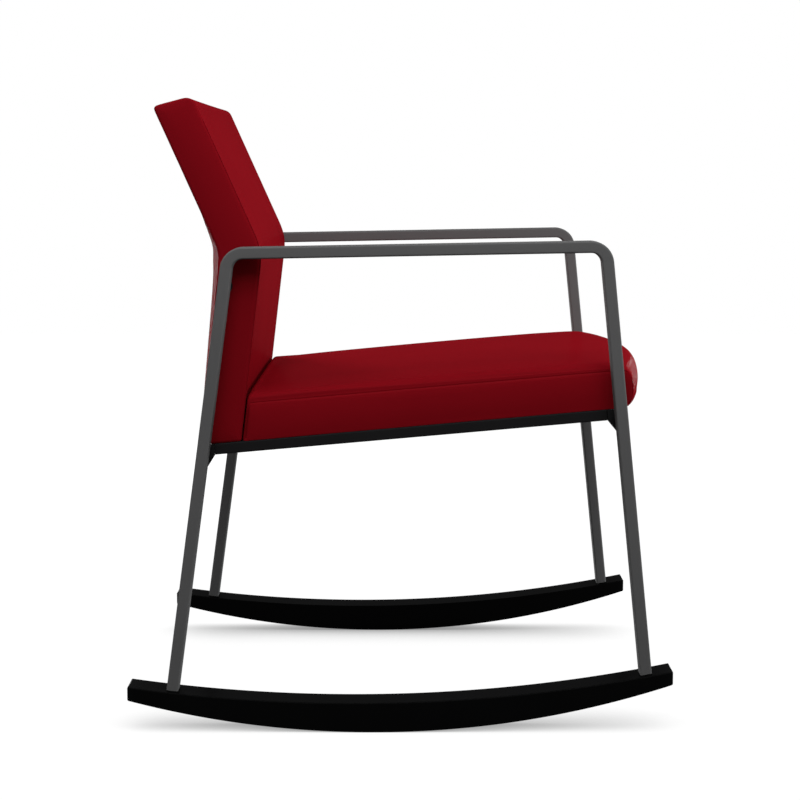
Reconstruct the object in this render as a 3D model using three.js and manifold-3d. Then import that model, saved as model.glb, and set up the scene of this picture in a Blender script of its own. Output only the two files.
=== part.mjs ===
import * as THREE from 'three';
import { mergeVertices } from 'three/addons/utils/BufferGeometryUtils.js';
import Module from 'manifold-3d';

// Rocking chair. Millimetres, X forward, Y to the sitter's left, Z up.
// The origin lies on the floor, half way between the ends of the runners.

const wasm = await Module();
wasm.setup();

// Clearances shared by all pieces
const fitGap = 0.3;
const cutOverrun = 4;

// Side frames, each one bent flat tube
const frameWidth = 612.8;
const tubeDepth = 28.2;
const tubeThickness = 15.2;
const tubeWall = 1.6;
const tubeCorner = 2.5;
const bendRadius = 22;
const armHeight = 626.8;
const armAngle = 1.033;
const rearLegReach = 304.8;
const rearLegAngle = 7.784;
const frontLegReach = 328.9;
const frontLegAngle = 5.914;

// Runners
const runnerLength = 710;
const runnerMargin = 10;
const rockRadius = 1232;
const runnerTopRadius = 2069;
const runnerMiddle = 39.5;
const contactBack = 35;
const runnerEdge = 3;
const rockFacet = 35;
const legSink = 6;

// Bolts that hold the legs on the runners, and their inserts
const runnerBolt = { shank: 6, head: 12, headHeight: 4, length: 34, socket: 4, socketDepth: 2 };
const runnerBoltSink = 6;
const insertLength = 30;

// Seat frame, measured in the plane of the seat: gaps run to the middle lines of the legs,
// insets run from the ends of the rails
const seatAngle = 5.04;
const seatLevel = 395.2;
const railHeight = 14.5;
const railWidth = 28;
const railWall = 1.6;
const railCorner = 1.5;
const railRearGap = 11.8;
const railFrontGap = 16.4;
const rearBarInset = 19;
const frontBarInset = 38;

// Brackets between the seat rails and the legs
const bracketHeight = 32;
const bracketPlate = 7;
const bracketTongue = 4;
const bracketCover = 5.4;
const bracketFoot = 2.5;
const bracketScrew = { shank: 6, head: 10.5, headHeight: 3.3, length: 17, socket: 4, socketDepth: 1.8 };
const bracketScrewTop = 8;
const bracketScrewPitch = 16;
const nutBarThickness = 6;
const nutBarWidth = 10;
const nutBarMargin = 7;

// Seat: cushion, board and dust cover
const cushionSideGap = 6.2;
const seatFrontReach = 17.7;
const seatEdgeHeight = 58;
const seatCrown = 11;
const seatBow = 27;
const seatCorner = 12;
const seatRearCorner = 6;
const seatEdgeRound = 9;
const seatNoseRound = 34;
const seatSideDraw = 1.5;
const boardThickness = 12;
const boardMargin = 14;
const dustCoverThickness = 1;
const boardScrew = { shank: 5, head: 10, headHeight: 2.5, length: 11, socket: 3, socketDepth: 1.2 };
const boardScrewInset = 21;
const boardScrewRearInset = 93;
const boardScrewFrontInset = 80;

// Back, set out from the point where its front face bends, ahead of the rear legs
const backBendReach = 41.8;
const backBendBelowArm = 1.2;
const backLowerAngle = 6.84;
const backUpperAngle = 24.1;
const backRearLowerAngle = 5.71;
const backLowerDepth = 55;
const backUpperDepth = 52;
const backTopRise = 196.9;
const backTopAngle = 15;
const backFrontBend = 75;
const backRearBend = 34;
const backTopFrontRound = 8;
const backTopRearRound = 5;
const backBottomRound = 5;
const backEdgeRound = 4;
const backBow = 18;
const backCrown = 2.5;
const seatBackGap = 0.6;

// Inner panel, straps and studs of the back
const panelThickness = 11;
const panelSet = 36;
const panelSideMargin = 10;
const panelTopMargin = 24;
const strapThickness = 5;
const strapWidth = 30;
const strapPlace = 120;
const strapRise = 118;
const strapBend = 12;
const strapFootMargin = 1.5;
const strapScrew = { shank: 5, head: 9, headHeight: 2.5, length: 14, socket: 3, socketDepth: 1.2 };
const strapScrewLow = 40;
const strapScrewPitch = 58;
const strapBolt = { shank: 6, head: 10.5, headHeight: 3.3, length: 14, socket: 4, socketDepth: 1.8 };
const spacerDiameter = 16;
const spacerBelowArm = 46.8;
const studDiameter = 6;
const studInPanel = 20;
const studInTube = 9;

// Counts of facets
const roundSides = 10;
const cornerSteps = 3;
const bendSteps = 7;
const runnerTopSteps = 14;
const frontSteps = 12;
const sideSteps = 5;
const crownSteps = 6;
const backSteps = 10;
const backFaceSteps = 4;

// Cushion edge from the bottom up: height, inset of the sides, inset of the front
const seatEdgeShares = [
  [0, 0.3, 0.42],
  [0.03, 0.12, 0.26],
  [0.1, 0, 0.16],
  [0.22, 0, 0.07],
  [0.36, 0, 0.01],
  [0.5, 0, 0],
  [0.66, 0, 0.05],
  [0.8, 0, 0.1],
  [0.84, 0, 0.12],
  [0.855, 0.12, 0.135],
  [0.87, 0, 0.15],
  [0.93, 0.18, 0.26],
  [0.975, 0.5, 0.48],
  [1, 1, 1],
];
const crownPowerAcross = 3;
const crownPowerAlong = 6;

// Surface finishes
const finish = (color, roughness, metalness) => () => (
  new THREE.MeshStandardMaterial({ color, roughness, metalness })
);
const greySteel = finish(0x4b4b4c, 0.5, 0.35);
const blackSteel = finish(0x121314, 0.55, 0.3);
const blackWood = finish(0x080808, 0.6, 0);
const redVinyl = finish(0x7c0a12, 0.45, 0);
const plywood = finish(0xc49a6a, 0.75, 0);
const zincSteel = finish(0x9a9ca0, 0.35, 0.9);
const blackNylon = finish(0x1b1b1c, 0.6, 0);
const blackCloth = finish(0x18181a, 0.95, 0);

// Vectors in the side view: [forward, up]
const radians = THREE.MathUtils.degToRad;
const add = (a, b, length = 1) => [a[0] + b[0] * length, a[1] + b[1] * length];
const minus = (a, b) => [a[0] - b[0], a[1] - b[1]];
const dot = (a, b) => a[0] * b[0] + a[1] * b[1];
const cross = (a, b) => a[0] * b[1] - a[1] * b[0];
const unit = (a) => [a[0] / Math.hypot(...a), a[1] / Math.hypot(...a)];
const leftOf = (a) => [-a[1], a[0]];
const leaning = (degrees) => [Math.sin(radians(degrees)), Math.cos(radians(degrees))];
const rising = (degrees) => [Math.cos(radians(degrees)), Math.sin(radians(degrees))];

// Where the line through p along u meets the line through q along v
const meet = (p, u, q, v) => add(p, u, cross(minus(q, p), v) / cross(u, v));

// Solids from triangle lists
function signedVolume(position, index) {
  const [a, b, c] = [new THREE.Vector3(), new THREE.Vector3(), new THREE.Vector3()];
  let total = 0;
  for (let i = 0; i < index.length; i += 3) {
    a.fromBufferAttribute(position, index[i]);
    b.fromBufferAttribute(position, index[i + 1]);
    c.fromBufferAttribute(position, index[i + 2]);
    total += a.dot(b.cross(c));
  }
  return total;
}

function solidOf(geometry) {
  const bare = geometry.clone();
  bare.deleteAttribute('normal');
  bare.deleteAttribute('uv');
  const welded = mergeVertices(bare);
  const corners = Array.from(welded.index.array);
  const index = [];
  for (let i = 0; i < corners.length; i += 3) {
    const [a, b, c] = corners.slice(i, i + 3);
    if (a !== b && b !== c && c !== a) {
      index.push(a, b, c);
    }
  }
  if (signedVolume(welded.attributes.position, index) < 0) {
    index.reverse();
  }
  return new wasm.Manifold(new wasm.Mesh({
    numProp: 3,
    vertProperties: new Float32Array(welded.attributes.position.array),
    triVerts: new Uint32Array(index),
  }));
}

function geometryOf(solid) {
  const mesh = solid.getMesh();
  const geometry = new THREE.BufferGeometry();
  geometry.setAttribute('position', new THREE.BufferAttribute(mesh.vertProperties, 3));
  geometry.setIndex(new THREE.BufferAttribute(mesh.triVerts, 1));
  const split = geometry.toNonIndexed();
  split.computeVertexNormals();
  return split;
}

const cut = (body, tools) => tools.reduce((rest, tool) => rest.subtract(tool), body);

// A closed body through equal rings of [x, y, z], capped at both ends
function loft(rings, capFaces) {
  const count = rings[0].length;
  const last = (rings.length - 1) * count;
  const index = [];
  for (let low = 0; low < last; low += count) {
    for (let i = 0; i < count; i += 1) {
      const j = (i + 1) % count;
      const high = low + count;
      index.push(low + i, low + j, high + j, low + i, high + j, high + i);
    }
  }
  for (const face of capFaces(rings[0])) {
    const [a, b, c] = face.toSorted((p, q) => p - q);
    index.push(a, c, b);
  }
  for (const face of capFaces(rings[rings.length - 1])) {
    const [a, b, c] = face.toSorted((p, q) => p - q);
    index.push(last + a, last + b, last + c);
  }
  const geometry = new THREE.BufferGeometry();
  geometry.setAttribute('position', new THREE.Float32BufferAttribute(rings.flat(2), 3));
  geometry.setIndex(index);
  return solidOf(geometry);
}

const faceOutline = (points) => THREE.ShapeUtils.triangulateShape(
  points.map(([x, y]) => new THREE.Vector2(x, y)),
  [],
);
const sideFaces = (ring) => faceOutline(ring.map(([x, y, z]) => [x, z]));
const planFaces = (ring) => faceOutline(ring.map(([x, y]) => [x, y]));
const fanFaces = (ring) => ring.slice(2).map((point, i) => [0, i + 1, i + 2]);

const atSide = (outline, y) => outline.map(([x, z]) => [x, y, z]);
const prism = (outline, from, to) => loft([atSide(outline, from), atSide(outline, to)], sideFaces);

// An outline with each corner rounded: corners are [point, radius, steps]
function roundOutline(corners) {
  return corners.flatMap(([point, radius, steps], i) => {
    if (radius === 0) {
      return [{ at: point, normal: null }];
    }
    const before = unit(minus(corners.at(i - 1)[0], point));
    const after = unit(minus(corners[(i + 1) % corners.length][0], point));
    const half = Math.acos(dot(before, after)) / 2;
    const centre = add(point, unit(add(before, after)), radius / Math.sin(half));
    const start = minus(add(point, before, radius / Math.tan(half)), centre);
    const turn = (Math.PI - 2 * half) * Math.sign(cross(after, before));
    const inward = Math.sign(cross(before, after));
    return Array.from({ length: steps + 1 }, (unused, k) => {
      const angle = Math.atan2(start[1], start[0]) + (turn * k) / steps;
      const spoke = [Math.cos(angle), Math.sin(angle)];
      return { at: add(centre, spoke, radius), normal: inward < 0 ? spoke : [-spoke[0], -spoke[1]] };
    });
  });
}

const pointsOf = (outline) => outline.map(({ at }) => at);

function rectangle(width, height, radius = 0, steps = cornerSteps) {
  const [x, y] = [width / 2, height / 2];
  const corners = [[-x, -y], [x, -y], [x, y], [-x, y]];
  return pointsOf(roundOutline(corners.map((corner) => [corner, radius, steps])));
}

// Stations along a bent line, each with the normal in the side view
function bentLine(points, radius) {
  const stations = [];
  points.forEach((point, i) => {
    const before = points[i - 1];
    const after = points[i + 1];
    if (!before || !after) {
      const along = before ? unit(minus(point, before)) : unit(minus(after, point));
      stations.push({ at: point, normal: leftOf(along) });
      return;
    }
    const comes = unit(minus(point, before));
    const goes = unit(minus(after, point));
    const turn = Math.asin(cross(comes, goes));
    const side = Math.sign(turn);
    const start = add(point, comes, -radius * Math.tan(Math.abs(turn) / 2));
    const centre = add(start, leftOf(comes), radius * side);
    for (let k = 0; k <= bendSteps; k += 1) {
      const angle = Math.atan2(comes[1], comes[0]) + (turn * k) / bendSteps;
      const normal = leftOf([Math.cos(angle), Math.sin(angle)]);
      stations.push({ at: add(centre, normal, -radius * side), normal });
    }
  });
  return stations;
}

// A bar of one section along a line: the section is [along the normal, along Y]
const bar = (stations, section, middle) => loft(
  stations.map(({ at, normal }) => section.map(([a, b]) => {
    const [x, z] = add(at, normal, a);
    return [x, middle + b, z];
  })),
  fanFaces,
);

// Round pieces along an axis, from a point in a direction
function turned(profile, from, direction) {
  const points = profile.map(([radius, along]) => new THREE.Vector2(radius, along));
  const geometry = new THREE.LatheGeometry(points, roundSides);
  const aim = new THREE.Quaternion().setFromUnitVectors(
    new THREE.Vector3(0, 1, 0),
    new THREE.Vector3(...direction).normalize(),
  );
  geometry.applyQuaternion(aim);
  geometry.translate(...from);
  return solidOf(geometry);
}

const rod = (diameter, from, direction, start, end) => turned(
  [[0, start], [diameter / 2, start], [diameter / 2, end], [0, end]],
  from,
  direction,
);

// A screw whose head bears at the point and whose shank runs in the direction
const screw = (spec, from, direction) => turned([
  [0, -spec.headHeight + spec.socketDepth],
  [spec.socket / 2, -spec.headHeight + spec.socketDepth],
  [spec.socket / 2, -spec.headHeight],
  [(spec.head + spec.socket) / 4, -spec.headHeight],
  [spec.head / 2, -spec.headHeight / 2],
  [spec.head / 2, 0],
  [spec.shank / 2, 0],
  [spec.shank / 2, spec.length],
  [0, spec.length],
], from, direction);

const screwHole = (spec, from, direction, start, end) => (
  rod(spec.shank + 2 * fitGap, from, direction, start, end)
);

// The plane of the seat: [along, above] to [forward, up] and back
const seatAlong = rising(seatAngle);
const seatAbove = leftOf(seatAlong);
const fromSeat = ([along, above]) => add(add([0, seatLevel], seatAlong, along), seatAbove, above);
const toSeat = (point) => {
  const from = minus(point, [0, seatLevel]);
  return [dot(from, seatAlong), dot(from, seatAbove)];
};
const inSpace = ([x, z], y) => [x, y, z];
const flatDirection = ([x, z]) => [x, 0, z];

// Named lines of the frame
const rearLeg = { at: [-rearLegReach, 0], up: leaning(rearLegAngle) };
const frontLeg = { at: [frontLegReach, 0], up: leaning(-frontLegAngle) };
const arm = { at: [0, armHeight], along: rising(armAngle) };
const legMiddle = (frameWidth - tubeDepth) / 2;
const legInside = frameWidth / 2 - tubeDepth;
const cushionHalf = legInside - cushionSideGap;

const parts = new THREE.Group();
function place(name, solid, material) {
  const mesh = new THREE.Mesh(geometryOf(solid), material());
  mesh.name = name;
  parts.add(mesh);
}

const hands = [['right', -1], ['left', 1]];

// Runner outline: a crescent that is rolled back to the point where it rests
const restAngle = Math.asin(contactBack / rockRadius);
const facetAngle = 2 * Math.asin(rockFacet / 2 / rockRadius);
const runnerHalf = runnerLength / 2;
const rockCentre = [-contactBack, rockRadius];
const topOffset = runnerTopRadius + runnerMiddle - rockRadius;
const topCentre = add(rockCentre, [-Math.sin(restAngle), Math.cos(restAngle)], topOffset);
const belowCentre = (centre, radius, x) => (
  centre[1] - Math.sqrt(radius ** 2 - (x - centre[0]) ** 2)
);

function runnerOutline(lift) {
  const cornerRadius = rockRadius / Math.cos(facetAngle / 2);
  const bottom = [[-runnerHalf, belowCentre(rockCentre, rockRadius, -runnerHalf)]];
  const most = Math.ceil((runnerLength / rockRadius) / facetAngle);
  for (let k = -most; k <= most; k += 1) {
    const angle = (k + 1 / 2) * facetAngle;
    const point = add(rockCentre, [Math.sin(angle), -Math.cos(angle)], cornerRadius);
    if (Math.abs(point[0]) < runnerHalf - runnerEdge) {
      bottom.push(point);
    }
  }
  bottom.push([runnerHalf, belowCentre(rockCentre, rockRadius, runnerHalf)]);
  const top = Array.from({ length: runnerTopSteps + 1 }, (unused, k) => {
    const x = runnerHalf - (runnerLength * k) / runnerTopSteps;
    return [x, belowCentre(topCentre, runnerTopRadius, x) + lift];
  });
  return [...bottom, ...top];
}

// The leg's point on an arc of the runner, by its distance along the leg
function legOnArc(leg, centre, radius) {
  const from = minus(leg.at, centre);
  const half = dot(from, leg.up);
  return -half - Math.sqrt(half ** 2 - dot(from, from) + radius ** 2);
}

const runnerBlock = (middle, lift) => {
  const half = tubeDepth / 2 + runnerMargin;
  return prism(runnerOutline(lift), middle - half, middle + half);
};

function runnerBody(middle) {
  const shape = new THREE.Shape(runnerOutline(0).map(([x, z]) => new THREE.Vector2(x, z)));
  const width = tubeDepth + 2 * runnerMargin;
  const geometry = new THREE.ExtrudeGeometry(shape, {
    depth: width - 2 * runnerEdge,
    bevelEnabled: true,
    bevelThickness: runnerEdge,
    bevelSize: runnerEdge,
    bevelOffset: -runnerEdge,
    bevelSegments: 2,
  });
  geometry.rotateX(Math.PI / 2);
  geometry.translate(0, middle + width / 2 - runnerEdge, 0);
  return solidOf(geometry);
}

// Side frames, their feet and the runners
const tubeSection = rectangle(tubeThickness, tubeDepth, tubeCorner);
const tubeBore = rectangle(
  tubeThickness - 2 * tubeWall,
  tubeDepth - 2 * tubeWall,
  tubeCorner - tubeWall,
  1,
);
const insertSection = rectangle(
  tubeThickness - 2 * tubeWall - 2 * fitGap,
  tubeDepth - 2 * tubeWall - 2 * fitGap,
  tubeCorner - tubeWall,
  1,
);
const legs = [['rear', rearLeg], ['front', frontLeg]].map(([name, leg]) => ({
  name,
  leg,
  top: legOnArc(leg, topCentre, runnerTopRadius),
  bottom: legOnArc(leg, rockCentre, rockRadius),
  knee: meet(leg.at, leg.up, arm.at, arm.along),
}));
const onLeg = ({ leg }, along) => add(leg.at, leg.up, along);
const frameLine = (sink) => bentLine([
  onLeg(legs[0], legs[0].top - sink),
  legs[0].knee,
  legs[1].knee,
  onLeg(legs[1], legs[1].top - sink),
], bendRadius);

// Places of the screws that hold the seat brackets: on the leg's middle line
function legAtSeat({ leg }, above) {
  return toSeat(meet(leg.at, leg.up, fromSeat([0, above]), seatAlong));
}
const bracketScrewPlaces = legs.map((leg) => (
  [bracketScrewTop, bracketScrewTop + bracketScrewPitch].map((down) => fromSeat(legAtSeat(leg, -down)))
));
const spacerPlace = meet(rearLeg.at, rearLeg.up, [0, armHeight - spacerBelowArm], [1, 0]);

for (const [hand, side] of hands) {
  const middle = side * legMiddle;
  const inside = side * legInside;
  const outward = [0, side, 0];
  const ground = runnerBlock(middle, fitGap);
  const frameHoles = bracketScrewPlaces.flat().map((at) => (
    screwHole(bracketScrew, inSpace(at, inside), outward, -cutOverrun, tubeWall + cutOverrun)
  ));
  frameHoles.push(rod(
    studDiameter + 2 * fitGap,
    inSpace(spacerPlace, inside),
    outward,
    -cutOverrun,
    tubeWall + cutOverrun,
  ));
  const tube = bar(frameLine(legSink), tubeSection, middle);
  const bore = bar(frameLine(legSink + cutOverrun), tubeBore, middle);
  place(`side_frame_${hand}`, cut(tube, [bore, ground, ...frameHoles]), greySteel);

  let runner = runnerBody(middle);
  for (const leg of legs) {
    const up = flatDirection(leg.leg.up);
    const seat = inSpace(onLeg(leg, leg.bottom + runnerBoltSink), middle);
    const sinkWidth = runnerBolt.head + 2 * fitGap;
    runner = cut(runner, [
      rod(sinkWidth, seat, up, -runnerBoltSink - cutOverrun, 0),
      screwHole(runnerBolt, seat, up, -fitGap, leg.top - leg.bottom + cutOverrun),
    ]);
    const insertLine = bentLine([
      onLeg(leg, leg.top - legSink),
      onLeg(leg, leg.top + insertLength),
    ], 0);
    const insertHole = screwHole(runnerBolt, seat, up, 0, runnerBolt.length + insertLength);
    const insert = cut(bar(insertLine, insertSection, middle), [ground, insertHole]);
    place(`foot_insert_${leg.name}_${hand}`, insert, blackNylon);
    place(`runner_bolt_${leg.name}_${hand}`, screw(runnerBolt, seat, up), zincSteel);
  }
  place(`runner_${hand}`, runner, blackWood);
}

// Ends of the seat rails and places along the seat that follow them
const legAlong = ({ leg }) => toSeat(meet(leg.at, leg.up, fromSeat([0, 0]), seatAlong))[0];
const railRear = legAlong(legs[0]) + railRearGap;
const railFront = legAlong(legs[1]) - railFrontGap;
const rearBarAlong = railRear + rearBarInset;
const frontBarAlong = railFront - frontBarInset;
const seatFront = legAlong(legs[1]) + seatFrontReach;

// Seat rails, with holes under the screws that go up into the seat board
const railMiddle = cushionHalf - railWidth / 2;
const railInside = cushionHalf - railWidth;
const boardScrewSide = cushionHalf - boardScrewInset;
const boardScrewPlaces = [
  ['rear', railRear + boardScrewRearInset],
  ['front', railFront - boardScrewFrontInset],
];
const railSection = rectangle(railHeight, railWidth, railCorner, 2);
const railBore = rectangle(railHeight - 2 * railWall, railWidth - 2 * railWall);
const up = flatDirection(seatAbove);

for (const [hand, side] of hands) {
  const middle = side * railMiddle;
  const line = (extra) => bentLine([
    fromSeat([railRear - extra, -railHeight / 2]),
    fromSeat([railFront + extra, -railHeight / 2]),
  ], 0);
  const tools = [bar(line(cutOverrun), railBore, middle)];
  for (const [name, along] of boardScrewPlaces) {
    const bearing = inSpace(fromSeat([along, -railWall - fitGap]), side * boardScrewSide);
    const access = boardScrew.head + 4 * fitGap;
    tools.push(screwHole(boardScrew, bearing, up, -fitGap, railWall + cutOverrun));
    tools.push(rod(access, bearing, up, -railHeight, -railHeight + 3 * railWall));
    place(`board_screw_${name}_${hand}`, screw(boardScrew, bearing, up), zincSteel);
  }
  place(`seat_rail_${hand}`, cut(bar(line(0), railSection, middle), tools), blackSteel);
}

// Cross tubes between the rails
const barOutline = (width, height, radius, along) => (
  rectangle(width, height, radius, 2).map(([a, b]) => fromSeat([along + a, b - railHeight / 2]))
);
const barEnd = railInside - fitGap;
const rearBarFace = rearBarAlong - railWidth / 2;
const strapBoltAt = fromSeat([rearBarFace - fitGap - strapThickness, -railHeight / 2]);
const forward = flatDirection(seatAlong);

for (const [name, along] of [['rear', rearBarAlong], ['front', frontBarAlong]]) {
  const outside = prism(barOutline(railWidth, railHeight, railCorner, along), -barEnd, barEnd);
  const hollow = prism(
    barOutline(railWidth - 2 * railWall, railHeight - 2 * railWall, 0, along),
    -barEnd - cutOverrun,
    barEnd + cutOverrun,
  );
  const holes = hands.map(([hand, side]) => screwHole(
    strapBolt,
    inSpace(strapBoltAt, side * strapPlace),
    forward,
    strapThickness - fitGap,
    strapThickness + fitGap + railWall + cutOverrun,
  ));
  place(`${name}_cross_tube`, cut(outside, name === 'rear' ? [hollow, ...holes] : [hollow]), blackSteel);
}

// Brackets, their screws and the nut bars inside the legs
legs.forEach((leg, i) => {
  const end = leg.name === 'rear' ? railRear - fitGap : railFront + fitGap;
  const outwardSign = Math.sign(end);
  const axis = (above) => legAtSeat(leg, above)[0];
  const far = (above) => axis(above) + outwardSign * bracketCover;
  const slopeEnd = axis(-bracketHeight) - outwardSign * bracketFoot;
  const plate = [
    [end, 0],
    [far(0), 0],
    [far(-bracketHeight), -bracketHeight],
    [slopeEnd, -bracketHeight],
    [end, -railHeight],
  ].map(fromSeat);
  const tongue = [
    [end, 0],
    [end + outwardSign * bracketTongue, 0],
    [end + outwardSign * bracketTongue, -railHeight],
    [end, -railHeight],
  ].map(fromSeat);
  for (const [hand, side] of hands) {
    const outer = side * (legInside - fitGap);
    const inner = side * (legInside - fitGap - bracketPlate);
    const outward = [0, side, 0];
    const holes = bracketScrewPlaces[i].map((at) => (
      screwHole(bracketScrew, inSpace(at, inner), outward, -cutOverrun, bracketPlate + cutOverrun)
    ));
    const body = prism(plate, outer, inner).add(prism(tongue, side * railInside, outer));
    place(`leg_bracket_${leg.name}_${hand}`, cut(body, holes), blackSteel);

    const [high, low] = bracketScrewPlaces[i];
    const barStart = add(low, leg.leg.up, -nutBarMargin);
    const barStop = add(high, leg.leg.up, nutBarMargin);
    const nutMiddle = side * (legInside + tubeWall + fitGap + nutBarThickness / 2);
    const nutSection = rectangle(nutBarWidth, nutBarThickness);
    place(
      `nut_bar_${leg.name}_${hand}`,
      cut(bar(bentLine([barStart, barStop], 0), nutSection, nutMiddle), holes.map((hole, k) => (
        screwHole(
          bracketScrew,
          inSpace(bracketScrewPlaces[i][k], inner),
          outward,
          0,
          bracketScrew.length + cutOverrun,
        )
      ))),
      zincSteel,
    );
    bracketScrewPlaces[i].forEach((at, k) => {
      const level = k === 0 ? 'upper' : 'lower';
      const head = inSpace(at, inner - side * fitGap);
      place(`bracket_screw_${leg.name}_${level}_${hand}`, screw(bracketScrew, head, outward), zincSteel);
    });
  }
});

// The back's lines in the side view
const backBendUp = armHeight - backBendBelowArm;
const backTopUp = backBendUp + backTopRise;
const backBendPoint = meet(rearLeg.at, rearLeg.up, [0, backBendUp], [1, 0]);
backBendPoint[0] += backBendReach;
const lowerUp = leaning(backLowerAngle);
const upperUp = leaning(-backUpperAngle);
const rearLowerUp = leaning(backRearLowerAngle);
const topAlong = rising(backTopAngle);
const seatLineAbove = (above) => fromSeat([0, above]);
const rearFrom = add(backBendPoint, leftOf(lowerUp), backLowerDepth);
const upperRearFrom = add(backBendPoint, leftOf(upperUp), backUpperDepth);
const rearBendPoint = meet(rearFrom, rearLowerUp, upperRearFrom, upperUp);
const topFrontPoint = meet(backBendPoint, upperUp, [0, backTopUp], [1, 0]);
const backOutline = roundOutline([
  [meet(backBendPoint, lowerUp, seatLineAbove(fitGap), seatAlong), backBottomRound, cornerSteps],
  [backBendPoint, backFrontBend, bendSteps],
  [topFrontPoint, backTopFrontRound, cornerSteps],
  [meet(upperRearFrom, upperUp, topFrontPoint, topAlong), backTopRearRound, cornerSteps],
  [rearBendPoint, backRearBend, bendSteps],
  [meet(rearFrom, rearLowerUp, seatLineAbove(fitGap), seatAlong), backBottomRound, cornerSteps],
]);

// Long straight runs of the outline get points between their ends
function divideRuns(outline, steps, longest) {
  return outline.flatMap((here, i) => {
    const next = outline[(i + 1) % outline.length];
    const run = minus(next.at, here.at);
    if (Math.hypot(...run) < longest) {
      return [here];
    }
    const share = (k) => ({ at: add(here.at, run, k / steps), normal: here.normal });
    return Array.from({ length: steps }, (unused, k) => share(k));
  });
}
const backLine = divideRuns(backOutline, backFaceSteps, backLowerDepth);
const crownFoot = seatLevel + seatEdgeHeight;
const crownRise = backTopUp - crownFoot;

// Rearward share of a point on the outline: 0 on the front face, 1 on the rear
function rearShare({ at }) {
  const face = at[1] < backBendUp ? lowerUp : upperUp;
  const depth = at[1] < backBendUp ? backLowerDepth : backUpperDepth;
  return THREE.MathUtils.clamp(dot(minus(at, backBendPoint), leftOf(face)) / depth, 0, 1);
}

function backRing(y, inset) {
  const across = 1 - (y / cushionHalf) ** 2;
  return backLine.map((point) => {
    const share = rearShare(point);
    const height = THREE.MathUtils.clamp((point.at[1] - crownFoot) / crownRise, 0, 1);
    const swell = backCrown * Math.sin(Math.PI * height) * (1 - share);
    const [x, z] = add(point.at, point.normal, -inset);
    return [x + across * (swell - backBow * share), y, z];
  });
}

function backBody() {
  const rings = [];
  const flat = cushionHalf - backEdgeRound;
  for (let k = 0; k <= cornerSteps; k += 1) {
    const angle = ((Math.PI / 2) * k) / cornerSteps;
    rings.push(backRing(-flat - backEdgeRound * Math.cos(angle), backEdgeRound * (1 - Math.sin(angle))));
  }
  for (let k = 1; k < backSteps; k += 1) {
    rings.push(backRing(-flat + (2 * flat * k) / backSteps, 0));
  }
  for (let k = cornerSteps; k >= 0; k -= 1) {
    const angle = ((Math.PI / 2) * k) / cornerSteps;
    rings.push(backRing(flat + backEdgeRound * Math.cos(angle), backEdgeRound * (1 - Math.sin(angle))));
  }
  return loft(rings, sideFaces);
}

// A bent board inside the back, between two depths behind the front face
function backBoard(near, far, low, topMargin, half) {
  const lowerAt = (depth) => add(backBendPoint, leftOf(lowerUp), depth);
  const upperAt = (depth) => add(backBendPoint, leftOf(upperUp), depth);
  const bend = (depth) => meet(lowerAt(depth), lowerUp, upperAt(depth), upperUp);
  const foot = (depth) => meet(lowerAt(depth), lowerUp, seatLineAbove(low), seatAlong);
  const topLine = add(topFrontPoint, upperUp, -topMargin);
  const head = (depth) => meet(upperAt(depth), upperUp, topLine, leftOf(upperUp));
  const outline = roundOutline([
    [foot(near), 0],
    [bend(near), backFrontBend - near, bendSteps],
    [head(near), 0],
    [head(far), 0],
    [bend(far), backFrontBend - far, bendSteps],
    [foot(far), 0],
  ]);
  return prism(pointsOf(outline), -half, half);
}

// Straps that carry the back on the rear cross tube
const strapFoot = fromSeat([
  rearBarFace - fitGap - strapThickness / 2,
  -railHeight + strapFootMargin,
]);
const strapFace = add(backBendPoint, leftOf(lowerUp), panelSet - fitGap - strapThickness / 2);
const strapKnee = meet(strapFoot, seatAbove, strapFace, lowerUp);
const strapLine = (extra) => bentLine([
  strapFoot,
  strapKnee,
  add(strapKnee, lowerUp, strapRise + extra),
], strapBend);
const strapBar = (grow, y) => bar(
  strapLine(grow),
  rectangle(strapThickness + 2 * grow, strapWidth + 2 * grow),
  y,
);
const strapScrewPlaces = [['lower', strapScrewLow], ['upper', strapScrewLow + strapScrewPitch]];
const strapScrewAt = (along) => add(
  add(strapKnee, lowerUp, along),
  leftOf(lowerUp),
  -strapThickness / 2 - fitGap,
);
const rearward = flatDirection(leftOf(lowerUp));

const panelHalf = cushionHalf - panelSideMargin;
const panelFar = panelSet + panelThickness;
const panelHoles = [];
const cushionHoles = [backBoard(
  panelSet - fitGap,
  panelFar + fitGap,
  -cutOverrun,
  panelTopMargin - fitGap,
  panelHalf + fitGap,
)];

for (const [hand, side] of hands) {
  const y = side * strapPlace;
  const strapHoles = [];
  for (const [level, along] of strapScrewPlaces) {
    const head = inSpace(strapScrewAt(along), y);
    const hole = screwHole(strapScrew, head, rearward, -cutOverrun, strapScrew.length + fitGap);
    strapHoles.push(hole);
    panelHoles.push(screwHole(strapScrew, head, rearward, 0, strapScrew.length + cutOverrun));
    cushionHoles.push(rod(
      strapScrew.head + 2 * fitGap,
      head,
      rearward,
      -strapScrew.headHeight - fitGap,
      strapThickness,
    ));
    place(`strap_screw_${level}_${hand}`, screw(strapScrew, head, rearward), zincSteel);
  }
  const boltHead = add(strapBoltAt, seatAlong, -fitGap);
  strapHoles.push(screwHole(strapBolt, inSpace(boltHead, y), forward, -cutOverrun, strapBolt.length));
  place(`strap_bolt_${hand}`, screw(strapBolt, inSpace(boltHead, y), forward), zincSteel);
  place(`back_strap_${hand}`, cut(strapBar(0, y), strapHoles), blackSteel);
  cushionHoles.push(strapBar(fitGap, y));
}

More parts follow.
